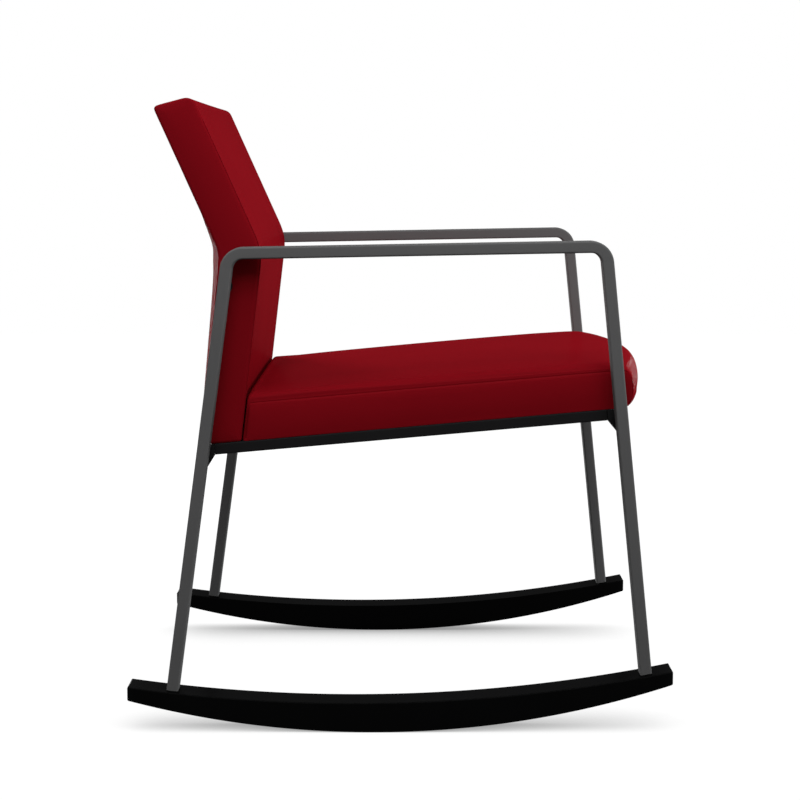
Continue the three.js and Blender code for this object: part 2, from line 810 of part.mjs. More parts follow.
// Spacers and studs between the rear legs and the back
for (const [hand, side] of hands) {
  const outward = [0, side, 0];
  const at = inSpace(spacerPlace, side * panelHalf);
  const studEnd = legInside + studInTube - panelHalf;
  const sleeveFrom = cushionHalf - panelHalf + fitGap;
  const sleeveTo = legInside - panelHalf - fitGap;
  const holeWidth = studDiameter + 2 * fitGap;
  const hole = (start, end) => rod(holeWidth, at, outward, start, end);
  panelHoles.push(hole(-studInPanel - fitGap, cutOverrun));
  cushionHoles.push(hole(-cutOverrun, sleeveFrom + cutOverrun));
  const sleeve = rod(spacerDiameter, at, outward, sleeveFrom, sleeveTo);
  place(
    `back_spacer_${hand}`,
    cut(sleeve, [hole(sleeveFrom - cutOverrun, sleeveTo + cutOverrun)]),
    blackSteel,
  );
  place(`back_stud_${hand}`, rod(studDiameter, at, outward, -studInPanel, studEnd), zincSteel);
}

const panel = backBoard(panelSet, panelFar, fitGap, panelTopMargin, panelHalf);
place('back_panel', cut(panel, panelHoles), plywood);
place('back_cushion', cut(backBody(), cushionHoles), redVinyl);

// Plan of the seat: the rear edge follows the front face of the back
const backFoot = toSeat(meet(backBendPoint, lowerUp, seatLineAbove(0), seatAlong));
const rearLean = Math.tan(radians(backLowerAngle + seatAngle));
const seatRear = backFoot[0] + seatBackGap / Math.cos(radians(backLowerAngle + seatAngle));
const seatLength = seatFront - seatRear;

// One level of the plan, with the bow of the front edge and the draw of the sides
function seatPlan(sideInset, frontInset) {
  const [rear, front] = [seatRear + sideInset, seatFront - frontInset];
  const half = cushionHalf - sideInset;
  const rearCorner = Math.max(seatRearCorner - sideInset, seatRearCorner / 3);
  const frontCorner = Math.max(seatCorner - sideInset, seatCorner / 3);
  const corners = pointsOf(roundOutline([
    [[rear, -half], rearCorner, cornerSteps],
    [[front, -half], frontCorner, cornerSteps],
    [[front, half], frontCorner, cornerSteps],
    [[rear, half], rearCorner, cornerSteps],
  ]));
  const ring = corners.flatMap((here, i) => {
    const run = minus(corners[(i + 1) % corners.length], here);
    if (Math.hypot(...run) < seatLength / 2) {
      return [here];
    }
    const across = Math.abs(run[1]) > Math.abs(run[0]);
    const steps = across && here[0] > 0 ? frontSteps : sideSteps;
    return Array.from({ length: steps }, (unused, k) => add(here, run, k / steps));
  });
  const reach = seatNoseRound * 2;
  return ring.map(([x, y]) => {
    const frontShare = THREE.MathUtils.clamp(1 - (front - x) / reach, 0, 1);
    const bow = seatBow * (1 - (y / cushionHalf) ** 2) * frontShare;
    const draw = seatSideDraw * Math.sin((Math.PI * (x - rear)) / (front - rear));
    return [x + bow, y * (1 - draw / cushionHalf)];
  });
}

// The cushion's rear face leans with the back
function seatLevelRing(sideInset, frontInset, above) {
  return seatPlan(sideInset, frontInset).map(([x, y]) => {
    const rearShareHere = THREE.MathUtils.clamp(1 - (x - seatRear) / (seatLength / 4), 0, 1);
    return [x + rearShareHere * rearLean * above, y, above];
  });
}

const ringInSpace = (ring) => ring.map(([x, y, above]) => {
  const [worldX, worldZ] = fromSeat([x, above]);
  return [worldX, y, worldZ];
});

function seatBody() {
  const rings = seatEdgeShares.map(([heightShare, sideShare, frontShare]) => seatLevelRing(
    sideShare * seatEdgeRound,
    frontShare * seatNoseRound,
    fitGap + heightShare * (seatEdgeHeight - fitGap),
  ));
  const rim = rings.at(-1);
  const middle = seatRear + seatLength / 2;
  const farthest = Math.max(...rim.map(([x]) => Math.abs(x - middle)));
  for (let k = 1; k < crownSteps; k += 1) {
    const share = 1 - (k / crownSteps) ** 2;
    rings.push(rim.map(([x, y]) => {
      const at = [middle + (x - middle) * share, y * share];
      const across = 1 - Math.abs(at[1] / (cushionHalf - seatEdgeRound)) ** crownPowerAcross;
      const along = 1 - Math.abs((at[0] - middle) / farthest) ** crownPowerAlong;
      return [...at, seatEdgeHeight + seatCrown * Math.max(across, 0) * Math.max(along, 0)];
    }));
  }
  return loft(rings.map(ringInSpace), planFaces);
}

// A flat board in the seat, inside the plan
const seatBoard = (margin, low, high) => loft([low, high].map((above) => (
  ringInSpace(seatPlan(margin, 2 * margin).map((at) => [...at, above]))
)), planFaces);

const boardHoles = [];
for (const [hand, side] of hands) {
  for (const [name, along] of boardScrewPlaces) {
    const bearing = inSpace(fromSeat([along, -railWall - fitGap]), side * boardScrewSide);
    boardHoles.push(screwHole(boardScrew, bearing, up, 0, boardScrew.length + fitGap));
  }
}
const boardTop = fitGap + boardThickness;
place('seat_board', cut(seatBoard(boardMargin, fitGap, boardTop), boardHoles), plywood);
place(
  'seat_cushion',
  cut(seatBody(), [seatBoard(boardMargin - fitGap, -cutOverrun, boardTop + fitGap)]),
  redVinyl,
);

const clothRear = rearBarAlong + railWidth / 2 + fitGap;
const clothFront = frontBarAlong - railWidth / 2 - fitGap;
const clothOutline = [
  [clothRear, -dustCoverThickness],
  [clothFront, -dustCoverThickness],
  [clothFront, 0],
  [clothRear, 0],
].map(fromSeat);
place('seat_dust_cover', prism(clothOutline, -barEnd, barEnd), blackCloth);

export default parts;
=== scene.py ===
import math
from typing import NamedTuple

import bmesh
import bpy
from bpy.props import FloatProperty, FloatVectorProperty, PointerProperty
from mathutils import Matrix, Vector, kdtree


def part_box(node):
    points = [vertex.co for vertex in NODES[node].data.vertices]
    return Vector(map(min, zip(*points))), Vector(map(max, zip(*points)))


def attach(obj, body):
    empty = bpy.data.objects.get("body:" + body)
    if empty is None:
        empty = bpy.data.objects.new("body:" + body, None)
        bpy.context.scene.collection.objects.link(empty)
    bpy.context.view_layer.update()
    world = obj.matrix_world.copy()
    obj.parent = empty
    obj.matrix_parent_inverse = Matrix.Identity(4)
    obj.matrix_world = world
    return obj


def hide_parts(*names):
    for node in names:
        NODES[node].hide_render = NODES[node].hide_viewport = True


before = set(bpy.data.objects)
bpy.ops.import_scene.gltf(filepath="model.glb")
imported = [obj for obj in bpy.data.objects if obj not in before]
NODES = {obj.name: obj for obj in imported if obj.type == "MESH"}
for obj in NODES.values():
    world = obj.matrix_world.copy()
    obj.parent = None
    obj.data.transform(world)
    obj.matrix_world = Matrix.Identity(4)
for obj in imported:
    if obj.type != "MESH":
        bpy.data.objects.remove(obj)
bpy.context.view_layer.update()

bl_info = {
    "name": "Rocking Chair",
    "version": (1, 0, 0),
    "blender": (4, 5, 0),
    "location": "View3D > Sidebar > Rocking Chair",
    "description": "Builds a rocking chair with steel side frames, curved runners and vinyl cushions",
    "category": "Object",
}

# Forward is +X, the sitter's left is +Y, and the floor is at zero
HANDS = (("right", -1), ("left", 1))
LEGS = ("rear", "front")
FIT_GAP = 0.0003
REST_GAP = 0.00005
FLAT = 0.0002
EDGE = 0.0005
SMOOTH_ANGLE = math.radians(35)


class Screw(NamedTuple):
    """Sizes of one kind of screw, in metres. Its head bears where its shank starts."""

    shank: float
    head: float
    head_height: float
    length: float
    socket: float
    socket_depth: float
    pitch: float
    pointed: bool


SCREWS = {
    "runner_bolt": Screw(0.006, 0.012, 0.004, 0.034, 0.004, 0.002, 0.001, False),
    "bracket_screw": Screw(0.006, 0.0105, 0.0033, 0.017, 0.004, 0.0018, 0.001, False),
    "strap_bolt": Screw(0.006, 0.0105, 0.0033, 0.014, 0.004, 0.0018, 0.001, False),
    "board_screw": Screw(0.005, 0.010, 0.0025, 0.011, 0.003, 0.0012, 0.0016, True),
    "strap_screw": Screw(0.005, 0.009, 0.0025, 0.014, 0.003, 0.0012, 0.0016, True),
}


def size(name, default, description):
    """A length that the user may change, in metres."""
    return FloatProperty(name=name, description=description, default=default, unit="LENGTH", precision=4)


def turn(name, default, description):
    """An angle that the user may change, given in degrees and kept in radians."""
    return FloatProperty(
        name=name, description=description, default=math.radians(default), unit="ROTATION", precision=3
    )


def share(name, default, description, low=0.0, high=1.0):
    """A plain number that the user may change."""
    return FloatProperty(name=name, description=description, default=default, min=low, max=high)


def colour(name, default, description):
    """A linear colour that the user may change."""
    return FloatVectorProperty(
        name=name, description=description, default=default, subtype="COLOR", size=3, min=0, max=1
    )


class ChairFrameSizes(bpy.types.PropertyGroup):
    """The two bent side frames"""

    width: size("Width", 0.6128, "Width of the chair over the two side frames")
    tube_depth: size("Tube depth", 0.0282, "Side of the tube that faces outwards")
    tube_thickness: size("Tube thickness", 0.0152, "Side of the tube that shows from beside the chair")
    tube_wall: size("Tube wall", 0.0016, "Thickness of the steel")
    tube_corner: size("Tube corner", 0.0025, "Outer radius of the tube's corners")
    bend_radius: size("Bend radius", 0.022, "Radius of the tube's middle line where it bends")
    arm_height: size("Arm height", 0.6268, "Height of the arm's middle line over the middle of the chair")
    arm_angle: turn("Arm slope", 1.033, "Rise of the arm towards the front")
    rear_reach: size("Rear leg reach", 0.3048, "How far behind the middle the rear leg's line ends")
    rear_angle: turn("Rear leg lean", 7.784, "Forward lean of the rear leg")
    front_reach: size("Front leg reach", 0.3289, "How far ahead of the middle the front leg's line ends")
    front_angle: turn("Front leg lean", 5.914, "Backward lean of the front leg")


class ChairRunnerSizes(bpy.types.PropertyGroup):
    """The two curved runners"""

    length: size("Length", 0.71, "Length of a runner from end to end")
    margin: size("Margin", 0.01, "How far a runner stands out beside the tube")
    rock_radius: size("Rocking radius", 1.232, "Radius of the edge that rolls on the floor")
    top_radius: size("Top radius", 2.069, "Radius of the runner's top edge")
    middle: size("Height in the middle", 0.0395, "Height of the runner over its lowest point")
    contact_back: size("Contact", 0.035, "How far behind the middle the runner touches the floor")
    edge: size("Edge radius", 0.0015, "Rounding of the runner's edges")
    bolt_sink: size("Bolt recess", 0.006, "Depth of the recess for the bolt's head")


class ChairSeatSizes(bpy.types.PropertyGroup):
    """The padded seat"""

    angle: turn("Seat slope", 5.04, "Rise of the seat towards the front")
    level: size("Seat frame height", 0.3952, "Height of the seat frame's top over the middle of the chair")
    side_gap: size("Side gap", 0.0062, "Gap between the seat and the legs")
    front_reach: size("Front reach", 0.0195, "How far the seat's front corner is ahead of the leg's line")
    edge_height: size("Edge height", 0.0648, "Thickness of the seat where its top meets its sides")
    rear_drop: size("Rear drop", 0.0034, "How much lower the top is at the back")
    front_drop: size("Front drop", 0.002, "How much lower the top is before it rolls over the front")
    crown: size("Crown", 0.006, "Rise of the seat's middle over its edges before it is stuffed")
    bow: size("Front bow", 0.031, "How far the middle of the front edge stands ahead of its corners")
    seam_height: size("Seam height", 0.0491, "Height of the seam that runs along the sides")
    roll_width: size("Edge roll", 0.021, "Width over which the top rolls down to the seam")
    flare: size("Flare", 0.0011, "How far the cover spreads again below its roll, down to the seam")
    flare_share: share("Flare share", 0.4, "Share of the height over the seam below the roll")
    side_bulge: size("Side bulge", 0.003, "How far the side panel stands out past its seam")
    side_draw: size("Side draw", 0.0015, "How far the sides pull in between the corners")
    seam_depth: size("Seam depth", 0.0007, "Depth of the groove along a seam")
    seam_width: size("Seam width", 0.0018, "Width of the groove along a seam")
    board_margin: size("Board margin", 0.014, "Width of the rim around the board below")
    board_depth: size("Board recess", 0.0126, "Depth of the recess that holds the board")
    swell: size("Swell", 0.002, "How far the stuffing may push the cover out")


class ChairBackSizes(bpy.types.PropertyGroup):
    """The padded back"""

    bend_reach: size("Bend reach", 0.0418, "How far ahead of the rear leg the back's front face bends")
    bend_below_arm: size("Bend height", 0.0012, "How far below the arm's line it bends")
    lower_angle: turn("Lower lean", 6.84, "Forward lean of the lower front face")
    upper_angle: turn("Upper lean", 24.1, "Backward lean of the upper front face")
    rear_lower_angle: turn("Rear lean", 5.71, "Forward lean of the lower rear face")
    lower_depth: size("Lower depth", 0.055, "Thickness below the bend")
    upper_depth: size("Upper depth", 0.052, "Thickness above the bend")
    top_rise: size("Top rise", 0.1977, "Height of the top over the bend")
    top_angle: turn("Top slope", 15, "Rise of the top edge towards the front")
    front_bend: size("Front bend radius", 0.075, "Radius of the bend in the front face")
    rear_bend: size("Rear bend radius", 0.034, "Radius of the bend in the rear face")
    top_front_round: size("Top front radius", 0.014, "Rounding of the top's front corner")
    top_rear_round: size("Top rear radius", 0.005, "Rounding of the top's rear corner")
    bottom_round: size("Bottom radius", 0.0018, "Rounding of the bottom corners")
    bow: size("Rear bow", 0.0195, "How far the middle of the rear face stands behind its sides")
    bend_swell: size("Bend swell", 0.0016, "How much further the rear face's middle stands out at the bend")
    lower_bow: size("Lower bow", 0.0058, "How much further it stands out from the bend down")
    crown: size("Front crown", 0.0015, "Rise of the front face's middle before it is stuffed")
    panel_set: size("Panel set", 0.036, "Depth of the inner panel behind the front face")
    panel_thickness: size("Panel thickness", 0.011, "Thickness of the inner panel")
    band: size("Side band", 0.0105, "Width of the band along the side panel's edge")
    band_depth: size("Side band depth", 0.0012, "How far the band slopes in")
    side_roll: size("Side roll", 0.0022, "Width over which the side panel turns in to its seam")
    side_depth: size("Side roll depth", 0.0012, "How far the side panel turns in at its seam")
    swell: size("Swell", 0.002, "How far the stuffing may push the cover out")


class ChairBracketSizes(bpy.types.PropertyGroup):
    """The brackets between the seat frame and the legs"""

    rear_gap: size("Rear gap", 0.0118, "How far ahead of the rear leg's line the side rails end")
    front_gap: size("Front gap", 0.0164, "How far behind the front leg's line the side rails end")
    rail_height: size("Rail height", 0.0145, "Height of the side rails")
    rear_height: size("Rear height", 0.038, "Height of the rear brackets")
    front_height: size("Front height", 0.0352, "Height of the front brackets")
    plate: size("Plate", 0.007, "Thickness of the plate that is screwed to the leg")
    cover: size("Cover", 0.0054, "How far the plate reaches past the leg's middle line")
    foot: size("Foot", 0.0025, "How far before the leg's middle line its slope ends")
    tongue: size("Tongue", 0.004, "Thickness of the tongue that closes the rail's end")
    hole: size("Hole", 0.0066, "Width of the holes for the screws")
    edge: size("Edge radius", 0.0006, "Rounding of the edges")


class ChairDustCoverSizes(bpy.types.PropertyGroup):
    """The cloth under the seat"""

    thickness: size("Thickness", 0.0006, "Thickness of the cloth")
    sag: size("Sag", 0.0025, "How far its middle hangs below its edges")
    pucker: size("Pucker", 0.0008, "Height of the small folds between the staples")
    pucker_reach: size("Pucker reach", 0.018, "How far the small folds reach inwards")
    staple_step: size("Staple spacing", 0.05, "Distance between staples")


class ChairFinishes(bpy.types.PropertyGroup):
    """Colours of the surfaces"""

    frame_paint: colour("Frame paint", (0.112, 0.112, 0.113), "Grey powder coat of the side frames")
    black_steel: colour("Seat frame paint", (0.011, 0.0108, 0.0113), "Black paint of the seat frame")
    runner_paint: colour("Runner paint", (0.0021, 0.0021, 0.0022), "Black paint of the runners")
    vinyl: colour("Vinyl", (0.2, 0.0038, 0.0078), "Red vinyl of the seat and the back")
    plywood: colour("Plywood", (0.5, 0.31, 0.15), "Bare plywood of the seat board and the inner panel")
    zinc: colour("Zinc", (0.43, 0.43, 0.44), "Plated screws and bolts")
    nylon: colour("Nylon", (0.012, 0.012, 0.012), "Black plastic of the leg inserts")
    dust_cloth: colour("Dust cloth", (0.01, 0.01, 0.011), "Black cloth under the seat")


class ChairStudio(bpy.types.PropertyGroup):
    """Lamps, floor, and the painted contact shadow on the floor"""

    key: share("Key lamp", 8.6, "Power of the lamp over the viewer, in watts", 0, 500)
    above: share("Lamp above", 25.0, "Power of the lamp over the chair, in watts", 0, 500)
    front: share("Lamp ahead", 9.0, "Power of the lamp ahead of the chair, in watts", 0, 500)
    rear: share("Lamp behind", 12.0, "Power of the lamp behind the chair, in watts", 0, 500)
    strip_ahead: share("Strip ahead", 43.0, "Power of the strip beyond the seat's front, in watts", 0, 500)
    strip_behind: share("Strip behind", 89.0, "Power of the narrow lamp beyond the back, in watts", 0, 500)
    ambient: share("Ambient", 0.385, "Strength of the light from all sides", 0, 2)
    floor_glow: share("Floor glow", 0.985, "Light that the open floor adds for the eye only", 0, 1)
    # The next three set a painted shadow: the floor's glow for the eye is dimmed where a piece is close
    # over it
    painted_shadow_glow: share("Contact glow", 0.15, "Floor light that is left under a touching piece", 0, 1)
    painted_shadow_lean: share("Contact lean", 3.2, "How far outwards a piece dims the floor's light", 0, 5)
    painted_shadow_reach: size("Contact shadow", 0.125, "Height from which a piece dims the floor's light")


class ChairSettings(bpy.types.PropertyGroup):
    """All that can be set"""

    side_frames: PointerProperty(type=ChairFrameSizes)
    runners: PointerProperty(type=ChairRunnerSizes)
    seat: PointerProperty(type=ChairSeatSizes)
    back: PointerProperty(type=ChairBackSizes)
    brackets: PointerProperty(type=ChairBracketSizes)
    dust_cover: PointerProperty(type=ChairDustCoverSizes)
    finishes: PointerProperty(type=ChairFinishes)
    studio: PointerProperty(type=ChairStudio)


def settings():
    return bpy.context.scene.rocking_chair


# Directions and points in the side view, as forward and up


def leaning(angle):
    return Vector((math.sin(angle), math.cos(angle)))


def rising(angle):
    return Vector((math.cos(angle), math.sin(angle)))


def left_of(way):
    return Vector((-way.y, way.x))


def meet(p, u, q, v):
    """Where the line through p along u meets the line through q along v."""
    return p + u * ((q - p).cross(v) / u.cross(v))


def in_space(point, y=0.0):
    return Vector((point[0], y, point[1]))


class Leg:
    """The line of a leg, from the floor up."""

    def __init__(self, foot, up):
        self.foot = foot
        self.up = up

    def on_arc(self, centre, radius):
        """The leg's point on the lower part of a circle."""
        reach = self.foot - centre
        half = reach.dot(self.up)
        return self.foot + self.up * (-half - math.sqrt(half**2 - reach.dot(reach) + radius**2))


class Plan:
    """The named lines and points that the pieces share, from the user's sizes."""

    def __init__(self):
        chair = settings()
        f, r, s, b = chair.side_frames, chair.runners, chair.seat, chair.back
        self.leg_middle = (f.width - f.tube_depth) / 2
        self.leg_inside = f.width / 2 - f.tube_depth
        self.half = self.leg_inside - s.side_gap
        self.legs = {
            "rear": Leg(Vector((-f.rear_reach, 0)), leaning(f.rear_angle)),
            "front": Leg(Vector((f.front_reach, 0)), leaning(-f.front_angle)),
        }
        self.arm = Vector((0, f.arm_height))
        self.arm_along = rising(f.arm_angle)
        rest = math.asin(r.contact_back / r.rock_radius)
        self.rock_centre = Vector((-r.contact_back, r.rock_radius))
        self.top_centre = self.rock_centre + leaning(-rest) * (r.top_radius + r.middle - r.rock_radius)

        self.seat_along = rising(s.angle)
        self.seat_above = left_of(self.seat_along)
        self.seat_from = Vector((0, s.level))
        leg = self.legs["front"]
        on_seat = meet(leg.foot, leg.up, self.seat_from, self.seat_along)
        self.seat_front = self.to_seat(on_seat)[0] + s.front_reach

        self.bend = meet(
            self.legs["rear"].foot,
            self.legs["rear"].up,
            Vector((0, f.arm_height - b.bend_below_arm)),
            Vector((1, 0)),
        )
        self.bend.x += b.bend_reach
        self.lower_up = leaning(b.lower_angle)
        self.upper_up = leaning(-b.upper_angle)
        self.rear_lean = math.tan(b.lower_angle + s.angle)
        foot = meet(self.bend, self.lower_up, self.seat_from, self.seat_along)
        gap = 2 * FIT_GAP / math.cos(b.lower_angle + s.angle)
        self.seat_rear = self.to_seat(foot)[0] + gap

    def from_seat(self, along, above):
        return self.seat_from + self.seat_along * along + self.seat_above * above

    def to_seat(self, point):
        """How far a point of the side view, or one in space, is along and above the seat frame."""
        reach = (Vector((point.x, point.z)) if len(point) == 3 else point) - self.seat_from
        return Vector((reach.dot(self.seat_along), reach.dot(self.seat_above)))


# Modelling by hand: one piece at a time, picked in edit mode


def begin(add, **values):
    """Adds a primitive with nothing else selected, applies its place and opens it in edit mode."""
    scale = values.pop("scale", None)
    bpy.ops.object.select_all(action="DESELECT")
    add(**values)
    piece = bpy.context.object
    if scale:
        piece.scale = scale
    bpy.ops.object.transform_apply(location=True, rotation=True, scale=True)
    bpy.ops.object.mode_set(mode="EDIT")
    bpy.ops.mesh.select_all(action="SELECT")
    return piece


def pick(test, kind="FACE"):
    """Selects, in edit mode, the faces, edges or corners that pass the test."""
    bpy.ops.mesh.select_mode(type=kind)
    bpy.ops.mesh.select_all(action="DESELECT")
    mesh = bmesh.from_edit_mesh(bpy.context.object.data)
    for item in {"VERT": mesh.verts, "EDGE": mesh.edges, "FACE": mesh.faces}[kind]:
        if test(item):
            item.select_set(True)
    mesh.select_flush_mode()
    bmesh.update_edit_mesh(bpy.context.object.data)


def picked_middle():
    """The middle of the faces that are selected in edit mode."""
    mesh = bmesh.from_edit_mesh(bpy.context.object.data)
    faces = [face for face in mesh.faces if face.select]
    return sum((face.calc_center_median() for face in faces), Vector()) / len(faces)


def extrude(way):
    bpy.ops.mesh.extrude_region_move(TRANSFORM_OT_translate={"value": way})


def tidy():
    """Merges doubles and turns all faces outwards, in edit mode."""
    bpy.ops.mesh.select_all(action="SELECT")
    bpy.ops.mesh.remove_doubles(threshold=1e-6)
    bpy.ops.mesh.normals_make_consistent(inside=False)


def close(name, smooth=SMOOTH_ANGLE):
    """Leaves edit mode with the piece named and shaded."""
    bpy.ops.object.mode_set(mode="OBJECT")
    piece = bpy.context.object
    piece.name = piece.data.name = name
    bpy.ops.object.shade_smooth_by_angle(angle=smooth)
    return piece


def alone(piece):
    """Selects one piece and makes it the active one."""
    bpy.ops.object.select_all(action="DESELECT")
    piece.select_set(True)
    bpy.context.view_layer.objects.active = piece


def modify(piece, kind, **values):
    """Adds a modifier and applies it."""
    alone(piece)
    modifier = piece.modifiers.new(kind, kind)
    for key, value in values.items():
        setattr(modifier, key, value)
    bpy.ops.object.modifier_apply(modifier=modifier.name)


def cut(piece, tool, operation="DIFFERENCE"):
    """Cuts the piece with a tool, which is then thrown away."""
    modify(piece, "BOOLEAN", object=tool, operation=operation, solver="EXACT")
    bpy.data.objects.remove(tool)


def copy(piece, name, change):
    """A second piece with its own mesh, moved by a matrix."""
    twin = piece.copy()
    twin.data = piece.data.copy()
    twin.name = twin.data.name = name
    twin.data.transform(change)
    if change.determinant() < 0:
        twin.data.flip_normals()
    bpy.context.scene.collection.objects.link(twin)
    return twin


def cylinder(name, vertices, radius, depth, **place):
    """A plain round bar that cuts a hole in a piece."""
    begin(bpy.ops.mesh.primitive_cylinder_add, vertices=vertices, radius=radius, depth=depth, **place)
    return close(name)


def settle(piece, node, kind):
    """Gives a finished piece its body and its material, and hides the CAD node that it replaces."""
    piece.data.materials.clear()
    piece.data.materials.append(material_named(kind))
    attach(piece, "root")
    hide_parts(node)


def both_sides(piece, node, kind):
    """Finishes the left piece and its mirrored twin on the right."""
    pair = (piece, copy(piece, piece.name.replace("left", "right"), MIRROR))
    for made, hand in zip(pair, ("left", "right")):
        settle(made, f"{node}_{hand}", kind)
    return pair


def nearest(points):
    """A tree that finds the nearest of the points."""
    tree = kdtree.KDTree(len(points))
    for i, point in enumerate(points):
        tree.insert(point.to_3d(), i)
    tree.balance()
    return tree


def press_in(piece, test, way):
    """Presses a recess into the faces that pass the test."""
    alone(piece)
    bpy.ops.object.mode_set(mode="EDIT")
    pick(test)
    extrude(way)
    tidy()
    bpy.ops.object.mode_set(mode="OBJECT")


def stand(node, way):
    """Turns +Z into the way and moves the origin to the far end of a turned CAD node's middle line."""
    turned = way.to_track_quat("Z", "Y").to_matrix()
    back = turned.transposed()
    points = [back @ vertex.co for vertex in node.data.vertices]
    low, high = (Vector([most(p[i] for p in points) for i in range(3)]) for most in (min, max))
    end = turned @ Vector(((low.x + high.x) / 2, (low.y + high.y) / 2, high.z))
    return Matrix.Translation(end) @ turned.to_4x4()


MIRROR = Matrix.Scale(-1, 4, (0, 1, 0))


# Surface effects, shared as node groups


class Nodes:
    """A node tree that is filled from left to right."""

    def __init__(self, tree):
        self.tree = tree
        self.column = 0

    def add(self, kind, values=(), **settings_):
        node = self.tree.nodes.new(kind)
        self.column += 200
        node.location = (self.column, 0)
        for key, value in settings_.items():
            setattr(node, key, value)
        for key, value in dict(values).items():
            if isinstance(value, bpy.types.NodeSocket):
                self.tree.links.new(value, node.inputs[key])
            else:
                node.inputs[key].default_value = value
        return node

    def maths(self, operation, first, *second):
        """What a Math node makes of its values, or where there are more, of each with what came before."""
        for value in second:
            first = self.add("ShaderNodeMath", {0: first, 1: value}, operation=operation).outputs[0]
        return first

    def vector(self, operation, first, second=(0, 0, 0)):
        """The vector that a Vector Math node makes of two."""
        return self.add("ShaderNodeVectorMath", {0: first, 1: second}, operation=operation).outputs[0]

    def ranged(self, value, start, end, low, high, **settings_):
        """The value with its range from start to end carried over to low and high."""
        values = {"Value": value, "From Min": start, "From Max": end, "To Min": low, "To Max": high}
        return self.add("ShaderNodeMapRange", values, **settings_).outputs[0]

    def place(self):
        return self.add("ShaderNodeTexCoord").outputs["Object"]

    def seen(self):
        """One where a ray comes from the eye, from a gloss or through glass."""
        path = self.add("ShaderNodeLightPath").outputs
        kinds = (path[f"Is {kind} Ray"] for kind in ("Camera", "Glossy", "Transmission"))
        return path, self.maths("MAXIMUM", *kinds)


def group(name, inputs, outputs):
    """An empty shader node group with named sockets."""
    tree = bpy.data.node_groups.new(name, "ShaderNodeTree")
    for way, sockets in (("INPUT", inputs), ("OUTPUT", outputs)):
        for socket, (kind, default) in sockets.items():
            made = tree.interface.new_socket(socket, in_out=way, socket_type="NodeSocket" + kind)
            if default is not None:
                made.default_value = default
    nodes = Nodes(tree)
    return tree, nodes, nodes.add("NodeGroupInput").outputs, nodes.add("NodeGroupOutput").inputs


def grain_group():
    """Fine pebble grain, with a slower unevenness under it."""
    tree, nodes, given, out = group(
        "Fine grain",
        {"Grain size": ("Float", 0.001), "Stretch": ("Vector", (1, 1, 1)), "Cell share": ("Float", 0.5)},
        {"Height": ("Float", None), "Slow": ("Float", None)},
    )
    place = nodes.place()
    fine = {
        "Vector": nodes.vector("MULTIPLY", place, given["Stretch"]),
        "Scale": nodes.maths("DIVIDE", 1.0, given["Grain size"]),
    }
    cells = nodes.add("ShaderNodeTexVoronoi", {**fine, "Smoothness": 0.6}, feature="SMOOTH_F1")
    clouds = nodes.add("ShaderNodeTexNoise", {**fine, "Detail": 3.0, "Roughness": 0.55})
    slow = nodes.add("ShaderNodeTexNoise", {"Vector": place, "Scale": 9.0, "Detail": 2.0})
    height = nodes.add(
        "ShaderNodeMix",
        {"Factor": given["Cell share"], "A": clouds.outputs["Fac"], "B": cells.outputs["Distance"]},
    )
    tree.links.new(height.outputs[0], out["Height"])
    tree.links.new(slow.outputs["Fac"], out["Slow"])


def tint_group():
    """A colour that wanders a little over the surface, with a painted highlight that lightens sharp edges.
    """
    tree, nodes, given, out = group(
        "Uneven colour",
        {
            "Colour": ("Color", (0.5, 0.5, 0.5, 1)), "Mask": ("Float", 0.5),
            "Variation": ("Float", 0.1), "Corner": ("Float", 0.2),
        },
        {"Colour": ("Color", None)},
    )
    swing = nodes.maths("MULTIPLY", nodes.ranged(given["Mask"], 0.3, 0.7, -0.5, 0.5), given["Variation"])
    # Painted highlight: sharp edges, found by pointiness, are lightened
    pointed = nodes.add("ShaderNodeNewGeometry").outputs["Pointiness"]
    edge_highlight = nodes.maths("MULTIPLY", nodes.ranged(pointed, 0.52, 0.6, 0.0, 1.0), given["Corner"])
    gain = nodes.maths("ADD", swing, edge_highlight, 1.0)
    tinted = nodes.add("ShaderNodeVectorMath", {0: given["Colour"], "Scale": gain}, operation="SCALE")
    tree.links.new(tinted.outputs[0], out["Colour"])


def ply_group():
    """The thin layers that show on the edges of plywood, pale and dark in turn."""
    tree, nodes, given, out = group(
        "Plywood layers",
        {"Lean": ("Float", 0.0), "Layer": ("Float", 0.0028), "Mask": ("Float", 0.5)},
        {"Mask": ("Float", None)},
    )
    turned = {"Vector": nodes.place(), "Angle": given["Lean"]}
    upright = nodes.add("ShaderNodeVectorRotate", turned, rotation_type="Y_AXIS")
    height = nodes.add("ShaderNodeSeparateXYZ", {0: upright.outputs[0]}).outputs["Z"]
    saw = nodes.maths("PINGPONG", nodes.maths("DIVIDE", height, given["Layer"]), 0.5)
    both = nodes.maths("ADD", nodes.ranged(saw, 0.2, 0.3, 0.25, 0.75), given["Mask"])
    tree.links.new(nodes.maths("MULTIPLY", both, 0.5), out["Mask"])


